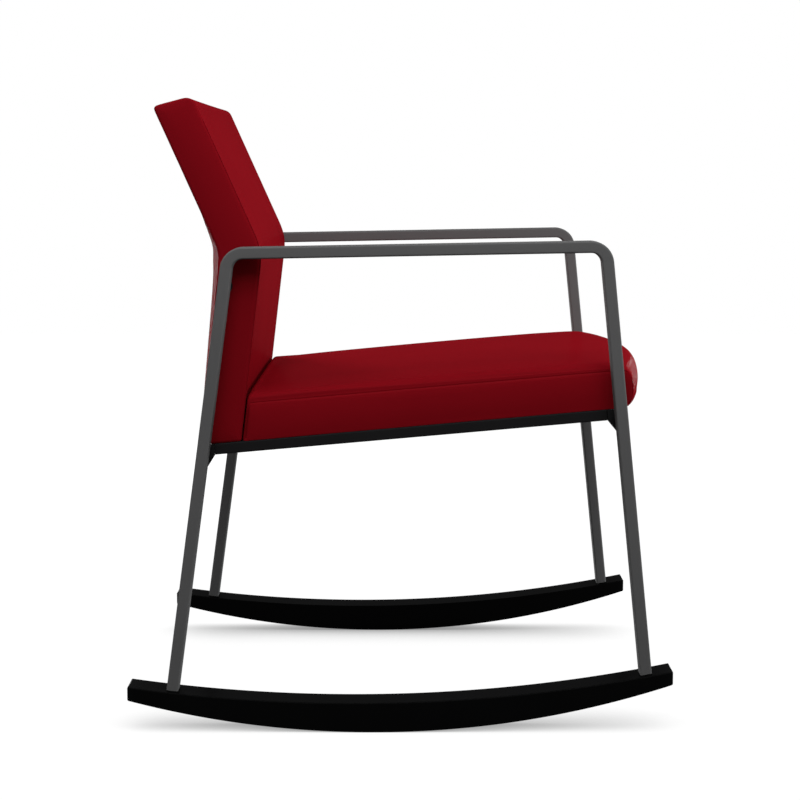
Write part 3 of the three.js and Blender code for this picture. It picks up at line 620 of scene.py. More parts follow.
def finish(name, colour_, roughness, grain_size, depth, cell=0.0, stretch=(1, 1, 1), variation=0.1,
           swing=0.08, corner=0.15, ply=None, **sockets):
    """A finish with fine relief, an uneven colour with a painted highlight on sharp edges (corner sets its
    strength), and an uneven gloss.
    """
    material = bpy.data.materials.new(name)
    material.use_nodes = True
    tree = material.node_tree
    nodes = Nodes(tree)
    shader = tree.nodes["Principled BSDF"]
    for key, value in sockets.items():
        shader.inputs[key.replace("_", " ")].default_value = value

    def effect(kind, values):
        return nodes.add("ShaderNodeGroup", values, node_tree=bpy.data.node_groups[kind]).outputs

    # A new group node has its tree's sockets from the start, so its values can be set at once
    grain = effect("Fine grain", {"Grain size": grain_size, "Stretch": stretch, "Cell share": cell})
    mask = grain["Slow"]
    if ply is not None:
        mask = effect("Plywood layers", {"Lean": ply, "Mask": mask})["Mask"]
    shares = {"Colour": (*colour_, 1), "Variation": variation, "Corner": corner, "Mask": mask}
    gloss = nodes.ranged(grain["Height"], 0.2, 0.8, roughness - swing / 2, roughness + swing / 2)
    relief = nodes.add("ShaderNodeBump", {"Height": grain["Height"], "Strength": 1.0, "Distance": depth})
    tree.links.new(effect("Uneven colour", shares)["Colour"], shader.inputs["Base Color"])
    tree.links.new(gloss, shader.inputs["Roughness"])
    tree.links.new(relief.outputs["Normal"], shader.inputs["Normal"])
    shader.location = (nodes.column + 200, 0)
    tree.nodes["Material Output"].location = (nodes.column + 500, 0)
    return material


def material_named(name):
    """A finish of the chair, made on first use."""
    known = bpy.data.materials.get(name)
    if known:
        return known
    if "Fine grain" not in bpy.data.node_groups:
        for build in (grain_group, tint_group, ply_group):
            build()
    chair = settings()
    c = chair.finishes
    upright = math.radians(90) - chair.back.lower_angle

    def painted(coat, coat_roughness, **others):
        return dict(Specular_IOR_Level=0.0, Coat_Weight=coat, Coat_Roughness=coat_roughness, **others)

    # Colour, roughness, width and height of the grain, and what else differs from a plain finish
    kinds = {
        "Grey powder coat": (c.frame_paint, 0.34, 0.0014, 1e-5, painted(0.008, 0.25, variation=0.06)),
        "Black steel paint": (c.black_steel, 0.35, 0.0012, 1e-5, painted(0.04, 0.25, variation=0.2)),
        # The runner's corner=2.0 paints a strong highlight along its edges
        "Black wood paint": (
            c.runner_paint, 0.3, 0.0016, 1.5e-5,
            painted(0.015, 0.2, stretch=(0.12, 1, 1), variation=0.3, corner=2.0),
        ),
        "Red vinyl": (
            c.vinyl, 0.5, 0.0011, 1.2e-5,
            painted(0.004, 0.2, cell=0.65, variation=0.05, swing=0.05, corner=0.05),
        ),
        "Birch plywood": (
            c.plywood, 0.65, 0.0014, 5e-5,
            dict(stretch=(0.08, 1, 1.6), variation=0.5, ply=chair.seat.angle, Specular_IOR_Level=0.3),
        ),
        "Upright plywood": (
            c.plywood, 0.65, 0.0014, 5e-5,
            dict(stretch=(1.6, 0.08, 1), variation=0.5, ply=upright, Specular_IOR_Level=0.3),
        ),
        "Zinc plate": (c.zinc, 0.32, 0.0006, 8e-6, dict(cell=0.2, variation=0.15, Metallic=1.0)),
        "Black nylon": (c.nylon, 0.5, 0.0007, 2e-5, dict(cell=0.4, variation=0.1, Specular_IOR_Level=0.4)),
        "Black dust cloth": (
            c.dust_cloth, 0.9, 0.0009, 0.00012,
            dict(cell=0.2, stretch=(1, 0.35, 1), variation=0.3, Specular_IOR_Level=0.1),
        ),
    }
    *basics, others = kinds[name]
    return finish(name, *basics, **others)


# Soft pieces: a side outline carried across the chair, with a panel at each end


def run(points, count, crowd=0.0, lip=0.0):
    """Points at even steps along a line, closer at its ends where they crowd. lip is a first short step."""
    lengths = [0.0]
    for before, after in zip(points, points[1:]):
        lengths.append(lengths[-1] + (after - before).length)
    made = []
    for k in range(count + 1):
        t = max(0, k - 1) / (count - 1) if lip else k / count
        first = lip * min(k, 1)
        at = first + (t - crowd * math.sin(2 * math.pi * t) / (2 * math.pi)) * (lengths[-1] - lip)
        i = min(max(j for j in range(len(lengths)) if lengths[j] <= at + 1e-12), len(points) - 2)
        step = lengths[i + 1] - lengths[i]
        made.append(points[i].lerp(points[i + 1], (at - lengths[i]) / step if step else 0.0))
    return made


def curve(points, steps=8):
    """A smooth line through the points."""
    made = []
    for i in range(len(points) - 1):
        p1, p2 = points[i], points[i + 1]
        p0 = points[i - 1] if i else p1 * 2 - p2
        p3 = points[i + 2] if i + 2 < len(points) else p2 * 2 - p1
        for k in range(steps):
            t = k / steps
            made.append(
                (
                    p1 * 2
                    + (p2 - p0) * t
                    + (p0 * 2 - p1 * 5 + p2 * 4 - p3) * t**2
                    + (p1 * 3 - p0 - p2 * 3 + p3) * t**3
                )
                / 2
            )
    return [*made, points[-1]]


def round_corner(before, point, after, radius, steps=8):
    """Points along the arc that rounds a corner."""
    towards, away = (before - point).normalized(), (after - point).normalized()
    half = math.acos(max(-1.0, min(1.0, towards.dot(away)))) / 2
    centre = point + (towards + away).normalized() * (radius / math.sin(half))
    start = point + towards * (radius / math.tan(half)) - centre
    sweep = (math.pi - 2 * half) * (1 if towards.cross(away) < 0 else -1)
    made = []
    for k in range(steps + 1):
        angle = math.atan2(start.y, start.x) + sweep * k / steps
        made.append(centre + Vector((math.cos(angle), math.sin(angle))) * radius)
    return made


def coons(bottom, side_b, top, side_a):
    """A grid of points between four edges: along the bottom and top, and up the two sides."""
    across_, up = len(bottom) - 1, len(side_a) - 1
    grid = []
    for j in range(up + 1):
        v = j / up
        row = []
        for i in range(across_ + 1):
            u = i / across_
            ruled = bottom[i].lerp(top[i], v) + side_a[j].lerp(side_b[j], u)
            corners = bottom[0].lerp(bottom[-1], u).lerp(top[0].lerp(top[-1], u), v)
            row.append(ruled - corners)
        grid.append(row)
    return grid


def cushion_mesh(name, runs, stations, place, panel_place):
    """
    A closed cushion. runs are the four runs of its side outline, each a pair of lines: at the seam and
    past the edge. stations are (y, share) from the middle outwards, where share 0 is at the seam.
    place puts a point of the outline in space, and panel_place does so for the panels between the seams.
    """
    seam = [point for seam_run, _ in runs for point in seam_run[:-1]]
    cover = [point for _, cover_run in runs for point in cover_run[:-1]]
    count = len(seam)
    made, faces = [], []
    rings = [(-y, s) for y, s in reversed(stations)] + [(y, s) for y, s in stations if y > 0]
    for y, s in rings:
        made.extend(place(a.lerp(b, s), y) for a, b in zip(seam, cover))
    for r in range(len(rings) - 1):
        for i in range(count):
            j = (i + 1) % count
            faces.append((r * count + i, r * count + j, (r + 1) * count + j, (r + 1) * count + i))
    bottom, front, top, rear = [seam_run for seam_run, _ in runs]
    grid = coons(bottom, front, list(reversed(top)), list(reversed(rear)))
    columns, rows = len(bottom) - 1, len(front) - 1
    start = {(i, 0): i for i in range(columns + 1)}
    start.update({(columns, j): columns + j for j in range(rows + 1)})
    start.update({(columns - i, rows): columns + rows + i for i in range(columns + 1)})
    start.update({(0, rows - j): (2 * columns + rows + j) % count for j in range(rows)})
    for ring, y in ((0, rings[0][0]), (len(rings) - 1, rings[-1][0])):
        where = {key: ring * count + value for key, value in start.items()}
        for j in range(1, rows):
            for i in range(1, columns):
                where[i, j] = len(made)
                made.append(panel_place(grid[j][i], y))
        for j in range(rows):
            for i in range(columns):
                quad = (where[i, j], where[i + 1, j], where[i + 1, j + 1], where[i, j + 1])
                faces.append(quad if ring == 0 else tuple(reversed(quad)))
    mesh = bpy.data.meshes.new(name)
    mesh.from_pydata([tuple(point) for point in made], [], faces)
    piece = bpy.data.objects.new(name, mesh)
    bpy.context.scene.collection.objects.link(piece)
    seams = [range(ring * count, (ring + 1) * count) for ring in (0, len(rings) - 1)]
    return piece, [i for ring in seams for i in ring]


def stuff(piece, held, most):
    """Blows the cover up under pressure with the held corners fixed, each moving at most so far."""
    alone(piece)
    before = [vertex.co.copy() for vertex in piece.data.vertices]
    normals = [vertex.normal.copy() for vertex in piece.data.vertices]
    pins = piece.vertex_groups.new(name="held")
    pins.add(held, 1.0, "REPLACE")
    modifier = piece.modifiers.new("Cloth", "CLOTH")
    cloth = modifier.settings
    cloth.use_pressure = True
    cloth.uniform_pressure_force = 4
    cloth.effector_weights.gravity = 0
    cloth.vertex_group_mass = "held"
    cloth.quality = 6
    cloth.tension_stiffness = cloth.compression_stiffness = 20
    cloth.shear_stiffness = 10
    cloth.bending_stiffness = 2
    last = 20
    modifier.point_cache.frame_start, modifier.point_cache.frame_end = 1, last
    for number in range(1, last + 1):
        bpy.context.scene.frame_set(number)
    blown = piece.evaluated_get(bpy.context.evaluated_depsgraph_get())
    after = [vertex.co.copy() for vertex in blown.data.vertices]
    piece.modifiers.remove(modifier)
    bpy.context.scene.frame_set(1)
    for vertex, a, b, normal in zip(piece.data.vertices, before, after, normals):
        way = b - a
        way -= normal * min(0.0, way.dot(normal))
        if way.length > 1e-9:
            vertex.co = a + way.normalized() * most * math.tanh(way.length / most)
    piece.vertex_groups.clear()


def refine(piece, seam, groove, width, lowest=0.004):
    """Subdivides once, then sews a narrow groove along each seam, above a height over the seat frame."""
    plan = Plan()
    crease = piece.data.attributes.new("crease_edge", "FLOAT", "EDGE")
    on_seam = set(seam)
    for edge in piece.data.edges:
        if all(v in on_seam for v in edge.vertices):
            crease.data[edge.index].value = 1.0
    modify(piece, "SUBSURF", levels=1, render_levels=1, boundary_smooth="PRESERVE_CORNERS")
    alone(piece)
    bpy.ops.object.mode_set(mode="EDIT")
    mesh = bmesh.from_edit_mesh(piece.data)
    layer = mesh.edges.layers.float.get("crease_edge")
    sewn = {
        e.index: [v.co.copy() for v in e.verts]
        for e in mesh.edges
        if e[layer] > 0.5 and all(plan.to_seat(v.co)[1] > lowest for v in e.verts)
    }
    line = nearest([co for ends in sewn.values() for co in ends])
    pick(lambda e: e.index in sewn, "EDGE")
    bpy.ops.mesh.bevel(offset=width / 2, segments=2, profile=0.5, affect="EDGES", clamp_overlap=True)
    mesh = bmesh.from_edit_mesh(piece.data)
    for v in [v for v in mesh.verts if v.select and line.find(v.co)[2] < width * 0.2]:
        v.co -= v.normal * groove
    bmesh.update_edit_mesh(piece.data)
    bpy.ops.object.mode_set(mode="OBJECT")
    piece.data.attributes.remove(piece.data.attributes["crease_edge"])
    bpy.ops.object.shade_smooth()


def ease(value):
    value = max(0.0, min(1.0, value))
    return value * value * (3 - 2 * value)


class CHAIR_OT_side_frames(bpy.types.Operator):
    """Bend the two side frames from one flat tube each: rear leg, arm and front leg"""

    bl_idname = "rocking_chair.side_frames"
    bl_label = "Side Frames"

    def execute(self, context):
        plan, s = Plan(), settings()
        f, y = s.side_frames, plan.leg_middle
        legs = [plan.legs[name] for name in LEGS]
        feet = [leg.on_arc(plan.top_centre, s.runners.top_radius) for leg in legs]
        start, end = (foot - leg.up * f.tube_depth for foot, leg in zip(feet, legs))
        begin(
            bpy.ops.mesh.primitive_plane_add,
            size=1,
            location=in_space(start, y),
            rotation=(0, f.rear_angle, 0),
            scale=(f.tube_thickness, f.tube_depth, 1),
        )
        bpy.ops.mesh.bevel(offset=f.tube_corner, segments=4, affect="VERTICES")
        bpy.ops.mesh.select_all(action="SELECT")
        line = [start, *(meet(leg.foot, leg.up, plan.arm, plan.arm_along) for leg in legs), end]
        for before, knee, after in zip(line, line[1:], line[2:]):
            comes, goes = (knee - before).normalized(), (after - knee).normalized()
            angle = comes.angle(goes)
            stop = knee - comes * (f.bend_radius * math.tan(angle / 2))
            extrude(in_space(stop, y) - picked_middle())
            centre = in_space(stop, y) - in_space(left_of(comes)) * f.bend_radius
            bpy.ops.mesh.spin(steps=16, angle=angle, center=centre, axis=(0, -1, 0))
        extrude(in_space(end, y) - picked_middle())

        # Each foot is cut off along the runner's top
        below_seat = 0.2
        for foot in feet:
            normal = (plan.top_centre - foot).normalized()

            def on_leg(face, foot=foot):
                low = min(v.co.z for v in face.verts)
                return low < below_seat and (face.calc_center_median().x > 0) == (foot.x > 0)

            pick(on_leg)
            bpy.ops.mesh.bisect(
                plane_co=in_space(foot + normal * FIT_GAP, y), plane_no=in_space(normal), clear_inner=True
            )
        tidy()
        piece = close("side_frame_left_tube")
        modify(piece, "SOLIDIFY", thickness=f.tube_wall, offset=-1)
        for made in both_sides(piece, "side_frame", "Grey powder coat"):
            modify(made, "WEIGHTED_NORMAL", keep_sharp=True)
        return {"FINISHED"}


class CHAIR_OT_runners(bpy.types.Operator):
    """Shape the two curved runners, with a recess for each bolt below"""

    bl_idname = "rocking_chair.runners"
    bl_label = "Runners"

    def execute(self, context):
        plan, s = Plan(), settings()
        r, f = s.runners, s.side_frames
        half, y = r.length / 2, plan.leg_middle
        width = f.tube_depth + 2 * r.margin

        def height(centre, radius, x):
            return centre.y - math.sqrt(radius**2 - (x - centre.x) ** 2)

        low = height(plan.rock_centre, r.rock_radius, -half)
        high = height(plan.top_centre, r.top_radius, -half)
        begin(
            bpy.ops.mesh.primitive_plane_add,
            size=1,
            location=(-half, y, (low + high) / 2),
            rotation=(0, math.radians(90), 0),
            scale=(high - low, width, 1),
        )
        bpy.ops.mesh.delete(type="ONLY_FACE")
        edges = ((plan.rock_centre, r.rock_radius, low), (plan.top_centre, r.top_radius, high))
        for centre, radius, level in edges:
            ends = [math.asin((x - centre.x) / radius) for x in (-half, half)]

            def at_rear(e, level=level):
                return e.verts[0].co.x < -half + 1e-5 and all(abs(v.co.z - level) < 1e-5 for v in e.verts)

            pick(at_rear, "EDGE")
            bpy.ops.mesh.spin(steps=72, angle=ends[1] - ends[0], center=in_space(centre, y), axis=(0, 1, 0))
        for sign in (-1, 1):
            pick(lambda e: e.is_boundary and all((v.co.y - y) * sign > width / 4 for v in e.verts), "EDGE")
            bpy.ops.mesh.bridge_edge_loops()
        pick(lambda e: e.is_boundary, "EDGE")
        bpy.ops.mesh.edge_face_add()
        for end in (-half, half):
            pick(lambda e, end=end: e.is_boundary and abs(e.verts[0].co.x - end) < 1e-4, "EDGE")
            if any(e.select for e in bmesh.from_edit_mesh(bpy.context.object.data).edges):
                bpy.ops.mesh.edge_face_add()
        tidy()
        piece = close("runner_left_wood")
        modify(piece, "BEVEL", width=r.edge, segments=3, limit_method="ANGLE", angle_limit=math.radians(40))
        depth = 0.02
        for leg in plan.legs.values():
            seat = leg.on_arc(plan.rock_centre, r.rock_radius)
            tool = cylinder(
                "bolt_recess", 40, SCREWS["runner_bolt"].head / 2 + FIT_GAP, depth,
                location=in_space(seat + leg.up * (r.bolt_sink - depth / 2), y),
                rotation=(0, math.atan2(leg.up.x, leg.up.y), 0),
            )
            cut(piece, tool)
        alone(piece)
        bpy.ops.object.shade_smooth_by_angle(angle=SMOOTH_ANGLE)
        both_sides(piece, "runner", "Black wood paint")
        return {"FINISHED"}


class CHAIR_OT_seat_cushion(bpy.types.Operator):
    """Sew and stuff the seat: a cover that rolls over the edges down to a seam, and two side panels"""

    bl_idname = "rocking_chair.seat_cushion"
    bl_label = "Seat Cushion"

    def execute(self, context):
        plan, s = Plan(), settings().seat
        front, rear, lean = plan.seat_front, plan.seat_rear, plan.rear_lean
        top, edge = s.edge_height, s.roll_width
        half, centre, reach = plan.half, (front + rear) / 2, (front - rear) / 2
        low, lip = REST_GAP, 0.0012
        cover_round, seam_round, seam_inset = 0.009, 0.004, 0.0035
        bow_from, crown_from, crown_over = 0.085, 0.045, 0.015
        crisp, slope_up, slope_down, rear_turn, bottom_out = 0.006, 0.018, 0.004, 0.0025, 0.85
        columns, rows = 84, 13

        def nose(points):
            return [Vector((front + x / 1000, h / 1000)) for x, h in points]

        # Front outlines from the bottom up: distance from the front corner, height
        cover_nose = nose([
            (-14.5, 0.05), (-7.4, 1.5), (-3.6, 5.8), (-0.8, 12.8), (1.1, 20.9), (1.5, 29), (0.5, 38),
            (-1.4, 45.2), (-4.6, 50.9),
        ])
        cover_top = nose([(-4.6, 50.9), (-8.5, 54.6), (-14.5, 57.8), (-23, 60.4), (-36, 62.2)])
        cover_top += [
            Vector(spot)
            for spot in (
                (front - 0.060, top - s.front_drop * 0.8),
                (front - 0.120, top - s.front_drop * 0.2),
                (centre, top),
                (rear + 0.120, top - s.rear_drop * 0.25),
                (rear + 0.060, top - s.rear_drop * 0.55),
            )
        ]
        seam_nose = nose([
            (-14.5, 0.05), (-8.7, 1.2), (-4.4, 7.5), (-1.8, 14), (0.2, 21), (0.7, 29), (-0.2, 38.5),
            (-3.2, 44.8),
        ])
        seam_top = nose([(-3.2, 44.8), (-7.4, 47.8), (-14, 48.9), (-26.6, 49.1), (-50, 49.1)])

        def back_at(height, inset=0.0):
            return Vector((rear + lean * height + inset, height))

        cover_corner = round_corner(
            back_at(low), back_at(top - s.rear_drop), Vector((front, top + s.rear_drop)), cover_round
        )
        seam_corner = round_corner(
            back_at(low, seam_inset), back_at(s.seam_height, seam_inset), Vector((front, s.seam_height)),
            seam_round,
        )
        middle = len(cover_corner) // 2
        margin = s.board_margin - FIT_GAP
        board_end = Vector((front - 2 * s.board_margin, low))
        bottom_cover = [back_at(low), Vector((rear + margin, low)), board_end]
        bottom_seam = [back_at(low, seam_inset), *bottom_cover[1:]]

        def bottom_run(points, end):
            return [
                *run([points[0], points[1]], 3)[:-1],
                *run([points[1], points[2]], columns - 6)[:-1],
                *run([points[2], end], 3),
            ]

        runs = [
            (bottom_run(bottom_seam, seam_nose[0]), bottom_run(bottom_cover, cover_nose[0])),
            (run(curve(seam_nose), rows, 0.15, lip), run(curve(cover_nose), rows, 0.15, lip)),
            (
                run([*curve(seam_top), *reversed(seam_corner[middle:])], columns, 0.6),
                run([*curve(cover_top), *reversed(cover_corner[middle:])], columns, 0.6),
            ),
            (
                run([back_at(low, seam_inset), *seam_corner[: middle + 1]], rows, 0.3, lip)[::-1],
                run([back_at(low), *cover_corner[: middle + 1]], rows, 0.3, lip)[::-1],
            ),
        ]
        seam_side = half - s.side_bulge
        flat = seam_side - edge
        board_side = half - margin
        steps = 42
        stations = [(flat * k / steps, 1.0) for k in range(steps + 1)]
        arc, arc_steps, flare_steps = edge - s.flare, 7, 4
        for k in range(1, arc_steps + 1):
            angle = math.radians(90) * (1 - k / arc_steps)
            share_ = s.flare_share + (1 - s.flare_share) * math.sin(angle)
            stations.append((flat + arc * math.cos(angle), share_))
        for k in range(1, flare_steps + 1):
            t = k / flare_steps
            stations.append((flat + arc + s.flare * t**2, s.flare_share * (1 - t)))

        def bowed(along, y):
            """How far the front bow moves a point ahead."""
            return s.bow * (1 - (y / half) ** 2) * ease(1 - (front - along) / bow_from)

        def shape(point, y):
            along, above = point
            forward = bowed(along, y) if along > centre else 0.0
            crown_across = max(0.0, 1 - abs(y / flat) ** 3)
            crown_along = max(0.0, 1 - abs((along - centre) / reach) ** 4)
            above += s.crown * crown_across * crown_along * ease((above - crown_from) / crown_over)
            draw = s.side_draw * math.sin(math.pi * (along - rear) / (front - rear))
            return in_space(plan.from_seat(along + forward, above), y * (1 - draw / half))

        edges = [
            nearest([point for seam_run, _ in lines for point in seam_run])
            for lines in (runs[1:3], runs[:1], runs[3:])
        ]

        def spread(point):
            """How far out the bottom edge is kept, so that it stays crisp."""
            return bottom_out * (1 - ease((point.y - low) / crisp))

        def cover(point, y):
            if abs(y) > seam_side - 1e-6:
                y += math.copysign(s.side_bulge * spread(point), y)
            return shape(point, y)

        def panel(point, y):
            """The side panel leaves the upper seam at a slope and turns in at the rear."""
            upper, lower, behind = (tree.find(point.to_3d())[2] for tree in edges)
            out = max(1 - (1 - min(upper / slope_up, 1.0)) ** 2, spread(point))
            below = bottom_out + (1 - bottom_out) * min(lower / slope_down, 1.0)
            turned = math.sqrt(1 - (1 - min(behind / rear_turn, 1.0)) ** 2)
            side = seam_side + s.side_bulge * min(out, below, turned)
            return shape(point, side if y > 0 else -side)

        piece, seam = cushion_mesh("seat_cushion_cover", runs, stations, cover, panel)
        held = set(seam)
        around, rings = len(seam) // 2, 2 * len(stations) - 1
        held.update(range(flare_steps * around), range((rings - flare_steps) * around, rings * around))
        for v in piece.data.vertices:
            along, above = plan.to_seat(v.co)
            if above < crisp or along < rear + lean * above + crisp:
                held.add(v.index)
        stuff(piece, sorted(held), s.swell)

        def under_board(face):
            spot = face.calc_center_median()
            along, above = plan.to_seat(spot)
            ahead = front - 2 * s.board_margin
            inside = rear + margin < along < ahead + bowed(ahead, spot.y)
            return inside and above < low + FLAT and abs(spot.y) < board_side

        press_in(piece, under_board, in_space(plan.seat_above) * (s.board_depth - low))
        refine(piece, seam, s.seam_depth, s.seam_width)
        settle(piece, "seat_cushion", "Red vinyl")
        return {"FINISHED"}


class CHAIR_OT_back_cushion(bpy.types.Operator):
    """Sew and stuff the back: front and rear covers over a bent outline, and two side panels"""

    bl_idname = "rocking_chair.back_cushion"
    bl_label = "Back Cushion"

    def execute(self, context):
        plan, s = Plan(), settings().back
        low = REST_GAP
        level = plan.from_seat(0, low)
        rear_up = leaning(s.rear_lower_angle)
        rear_from = plan.bend + left_of(plan.lower_up) * s.lower_depth
        upper_rear = plan.bend + left_of(plan.upper_up) * s.upper_depth
        rear_bend = meet(rear_from, rear_up, upper_rear, plan.upper_up)
        top = plan.bend.y + s.top_rise
        top_front = meet(plan.bend, plan.upper_up, Vector((0, top)), Vector((1, 0)))
        top_rear = meet(upper_rear, plan.upper_up, top_front, rising(s.top_angle))
        foot_front = meet(plan.bend, plan.lower_up, level, plan.seat_along)
        foot_rear = meet(rear_from, rear_up, level, plan.seat_along)
        corners = {
            "foot_rear": round_corner(rear_bend, foot_rear, foot_front, s.bottom_round),
            "foot_front": round_corner(foot_rear, foot_front, plan.bend, s.bottom_round),
            "bend": round_corner(foot_front, plan.bend, top_front, s.front_bend, 24),
            "top_front": round_corner(plan.bend, top_front, top_rear, s.top_front_round),
            "top_rear": round_corner(top_front, top_rear, rear_bend, s.top_rear_round),
            "rear_bend": round_corner(top_rear, rear_bend, foot_rear, s.rear_bend, 16),
        }
        half_way = 4
        columns, rows, steps = 84, 12, 43
        bend_reach, below_from, below_over = 0.04, 0.042, 0.057
        panel_inset, beside_seam = 0.0097, (0.003, 0.0012, 0)
        crisp, crest_hold, slot_depth = 0.006, 0.012, 0.004
        slot = [
            foot_front.lerp(foot_rear, depth / s.lower_depth)
            for depth in (s.panel_set - FIT_GAP, s.panel_set + s.panel_thickness + FIT_GAP)
        ]
        bottom = [
            *run([*corners["foot_rear"][half_way:], slot[1]], 3)[:-1],
            *run([slot[1], slot[0]], 2)[:-1],
            *run([slot[0], *corners["foot_front"][: half_way + 1]], rows - 5),
        ]

        def between(start, end, count, crowd, via=()):
            """The outline from the middle of one rounded corner to the middle of another."""
            return run([*corners[start][half_way:], *via, *corners[end][: half_way + 1]], count, crowd)

        front = between("foot_front", "top_front", columns, 0.6, corners["bend"])
        head = between("top_front", "top_rear", rows, 0.4)
        behind = between("top_rear", "foot_rear", columns, 0.6, corners["rear_bend"])
        outline = (bottom, front, head, behind)
        half = plan.half
        seam_side = half - s.side_depth - s.band_depth
        panel_side = half - panel_inset
        sides = [panel_side * k / steps for k in range(steps + 1)]
        stations = [(y, 1.0) for y in (*sides, *(seam_side - gap for gap in beside_seam))]
        crown_foot = plan.from_seat(0, settings().seat.edge_height).y
        tree = nearest([point for line in outline for point in line])

        def shape(point, y):
            lower = point.y < plan.bend.y
            face, depth = (plan.lower_up, s.lower_depth) if lower else (plan.upper_up, s.upper_depth)
            behind_ = max(0.0, min(1.0, (point - plan.bend).dot(left_of(face)) / depth))
            height = max(0.0, min(1.0, (point.y - crown_foot) / (top - crown_foot)))
            inward = 1 - (y / half) ** 2
            swell = s.crown * math.sin(math.pi * height) * (1 - behind_)
            at_bend = math.exp(-(((point.y - rear_bend.y) / bend_reach) ** 2))
            below = ease((rear_bend.y + below_from - point.y) / below_over)
            back = (s.bow + s.bend_swell * at_bend + s.lower_bow * below) * behind_
            return Vector((point.x + inward * (swell - back), y, point.y))

        def panel(point, y):
            away = tree.find(point.to_3d())[2]
            roll = math.sqrt(1 - (1 - min(away / s.side_roll, 1.0)) ** 2)
            side = seam_side + s.side_depth * roll + s.band_depth * min(away / s.band, 1.0)
            return shape(point, side if y > 0 else -side)

        runs = [(line, line) for line in outline]
        piece, seam = cushion_mesh("back_cushion_cover", runs, stations, shape, panel)
        held = set(seam)
        crest = corners["top_front"][half_way]
        for v in piece.data.vertices:
            spot = Vector((v.co.x, v.co.z))
            if plan.to_seat(spot)[1] < crisp or (spot - crest).length < crest_hold:
                held.add(v.index)
        stuff(piece, sorted(held), s.swell)
        ends = sorted(plan.to_seat(point)[0] for point in slot)

        def in_slot(face):
            """Where the inner panel comes out of the bottom."""
            spot = face.calc_center_median()
            along, above = plan.to_seat(spot)
            shift = s.bow * (1 - (spot.y / half) ** 2)
            inside = ends[0] - shift < along < ends[1]
            return inside and above < low + FLAT and abs(spot.y) < panel_side

        press_in(piece, in_slot, in_space(plan.seat_above) * slot_depth)
        refine(piece, seam, groove=0.0007, width=0.0016)
        settle(piece, "back_cushion", "Red vinyl")
        return {"FINISHED"}


class CHAIR_OT_screws(bpy.types.Operator):
    """Turn one screw of each kind, with its thread and socket, and set a copy wherever one holds"""

    bl_idname = "rocking_chair.screws"
    bl_label = "Screws and Bolts"

    def execute(self, context):
        plan = Plan()
        ways = {
            "strap_bolt": in_space(plan.seat_along),
            "board_screw": in_space(plan.seat_above),
            "strap_screw": in_space(left_of(plan.lower_up)),
        }
        for kind, screw in SCREWS.items():
            master = self.turned(kind, screw)
            for name in (name for name in NODES if name.startswith(kind)):
                if kind == "runner_bolt":
                    way = in_space(plan.legs["front" if "front" in name else "rear"].up)
                elif kind == "bracket_screw":
                    way = Vector((0, 1 if name.endswith("left") else -1, 0))
                else:
                    way = ways[kind]
                twin = copy(master, f"{name}_threaded", stand(NODES[name], way))
                settle(twin, name, "Zinc plate")
            bpy.data.objects.remove(master)
        return {"FINISHED"}

    def turned(self, kind, screw):
        """A screw that points up, with its tip at the origin."""
        bearing = -screw.length
        top = bearing - screw.head_height
        begin(
            bpy.ops.mesh.primitive_cylinder_add,
            vertices=24,
            radius=screw.head / 2,
            depth=screw.head_height,
            location=(0, 0, (top + bearing) / 2),
        )
        pick(lambda e: all(v.co.z < top + 1e-6 for v in e.verts), "EDGE")
        bpy.ops.mesh.bevel(offset=screw.head_height * 0.6, segments=4, affect="EDGES")
        pick(lambda face: face.calc_center_median().z > bearing - 1e-6)
        bpy.ops.mesh.inset(thickness=(screw.head - screw.shank) / 2)
        crest = screw.shank / 2
        root = crest - screw.pitch * 0.45
        tip = screw.shank * (0.55 if screw.pointed else 0.12)
        plain = screw.length * 0.2
        turns = round((screw.length - plain - tip) / screw.pitch)
        step = (screw.length - plain - tip) / turns / 2
        end = root * (0.1 if screw.pointed else 1)
        radius = crest
        for rise, to in [(plain, crest), *[(step, root), (step, crest)] * turns, (tip, end)]:
            extrude(Vector((0, 0, rise)))
            bpy.ops.transform.resize(value=(to / radius, to / radius, 1))
            radius = to
        tidy()
        piece = close(f"{kind}_master")
        corner = screw.socket / 2 / math.cos(math.radians(30))
        cut(piece, cylinder("socket", 6, corner, screw.socket_depth * 2, location=(0, 0, top)))
        return piece


class CHAIR_OT_spacers(bpy.types.Operator):
    """Turn the round spacers that keep the back off the legs"""

    bl_idname = "rocking_chair.spacers"
    bl_label = "Back Spacers"

    def execute(self, context):
        width, thickness, hole, edge = 0.0186, 0.0056, 0.0066, 0.0007
        begin(
            bpy.ops.mesh.primitive_cylinder_add,
            vertices=48,
            radius=width / 2,
            depth=thickness,
            location=(0, 0, -thickness / 2),
        )
        pick(lambda face: len(face.verts) > 4)
        bpy.ops.mesh.bevel(offset=edge, segments=3, affect="EDGES")
        tidy()
        master = close("spacer_master")
        cut(master, cylinder("hole", 32, hole / 2, thickness * 4))
        for hand, side in HANDS:
            node = f"back_spacer_{hand}"
            twin = copy(master, f"{node}_turned", stand(NODES[node], Vector((0, side, 0))))
            settle(twin, node, "Black steel paint")
        bpy.data.objects.remove(master)
        return {"FINISHED"}


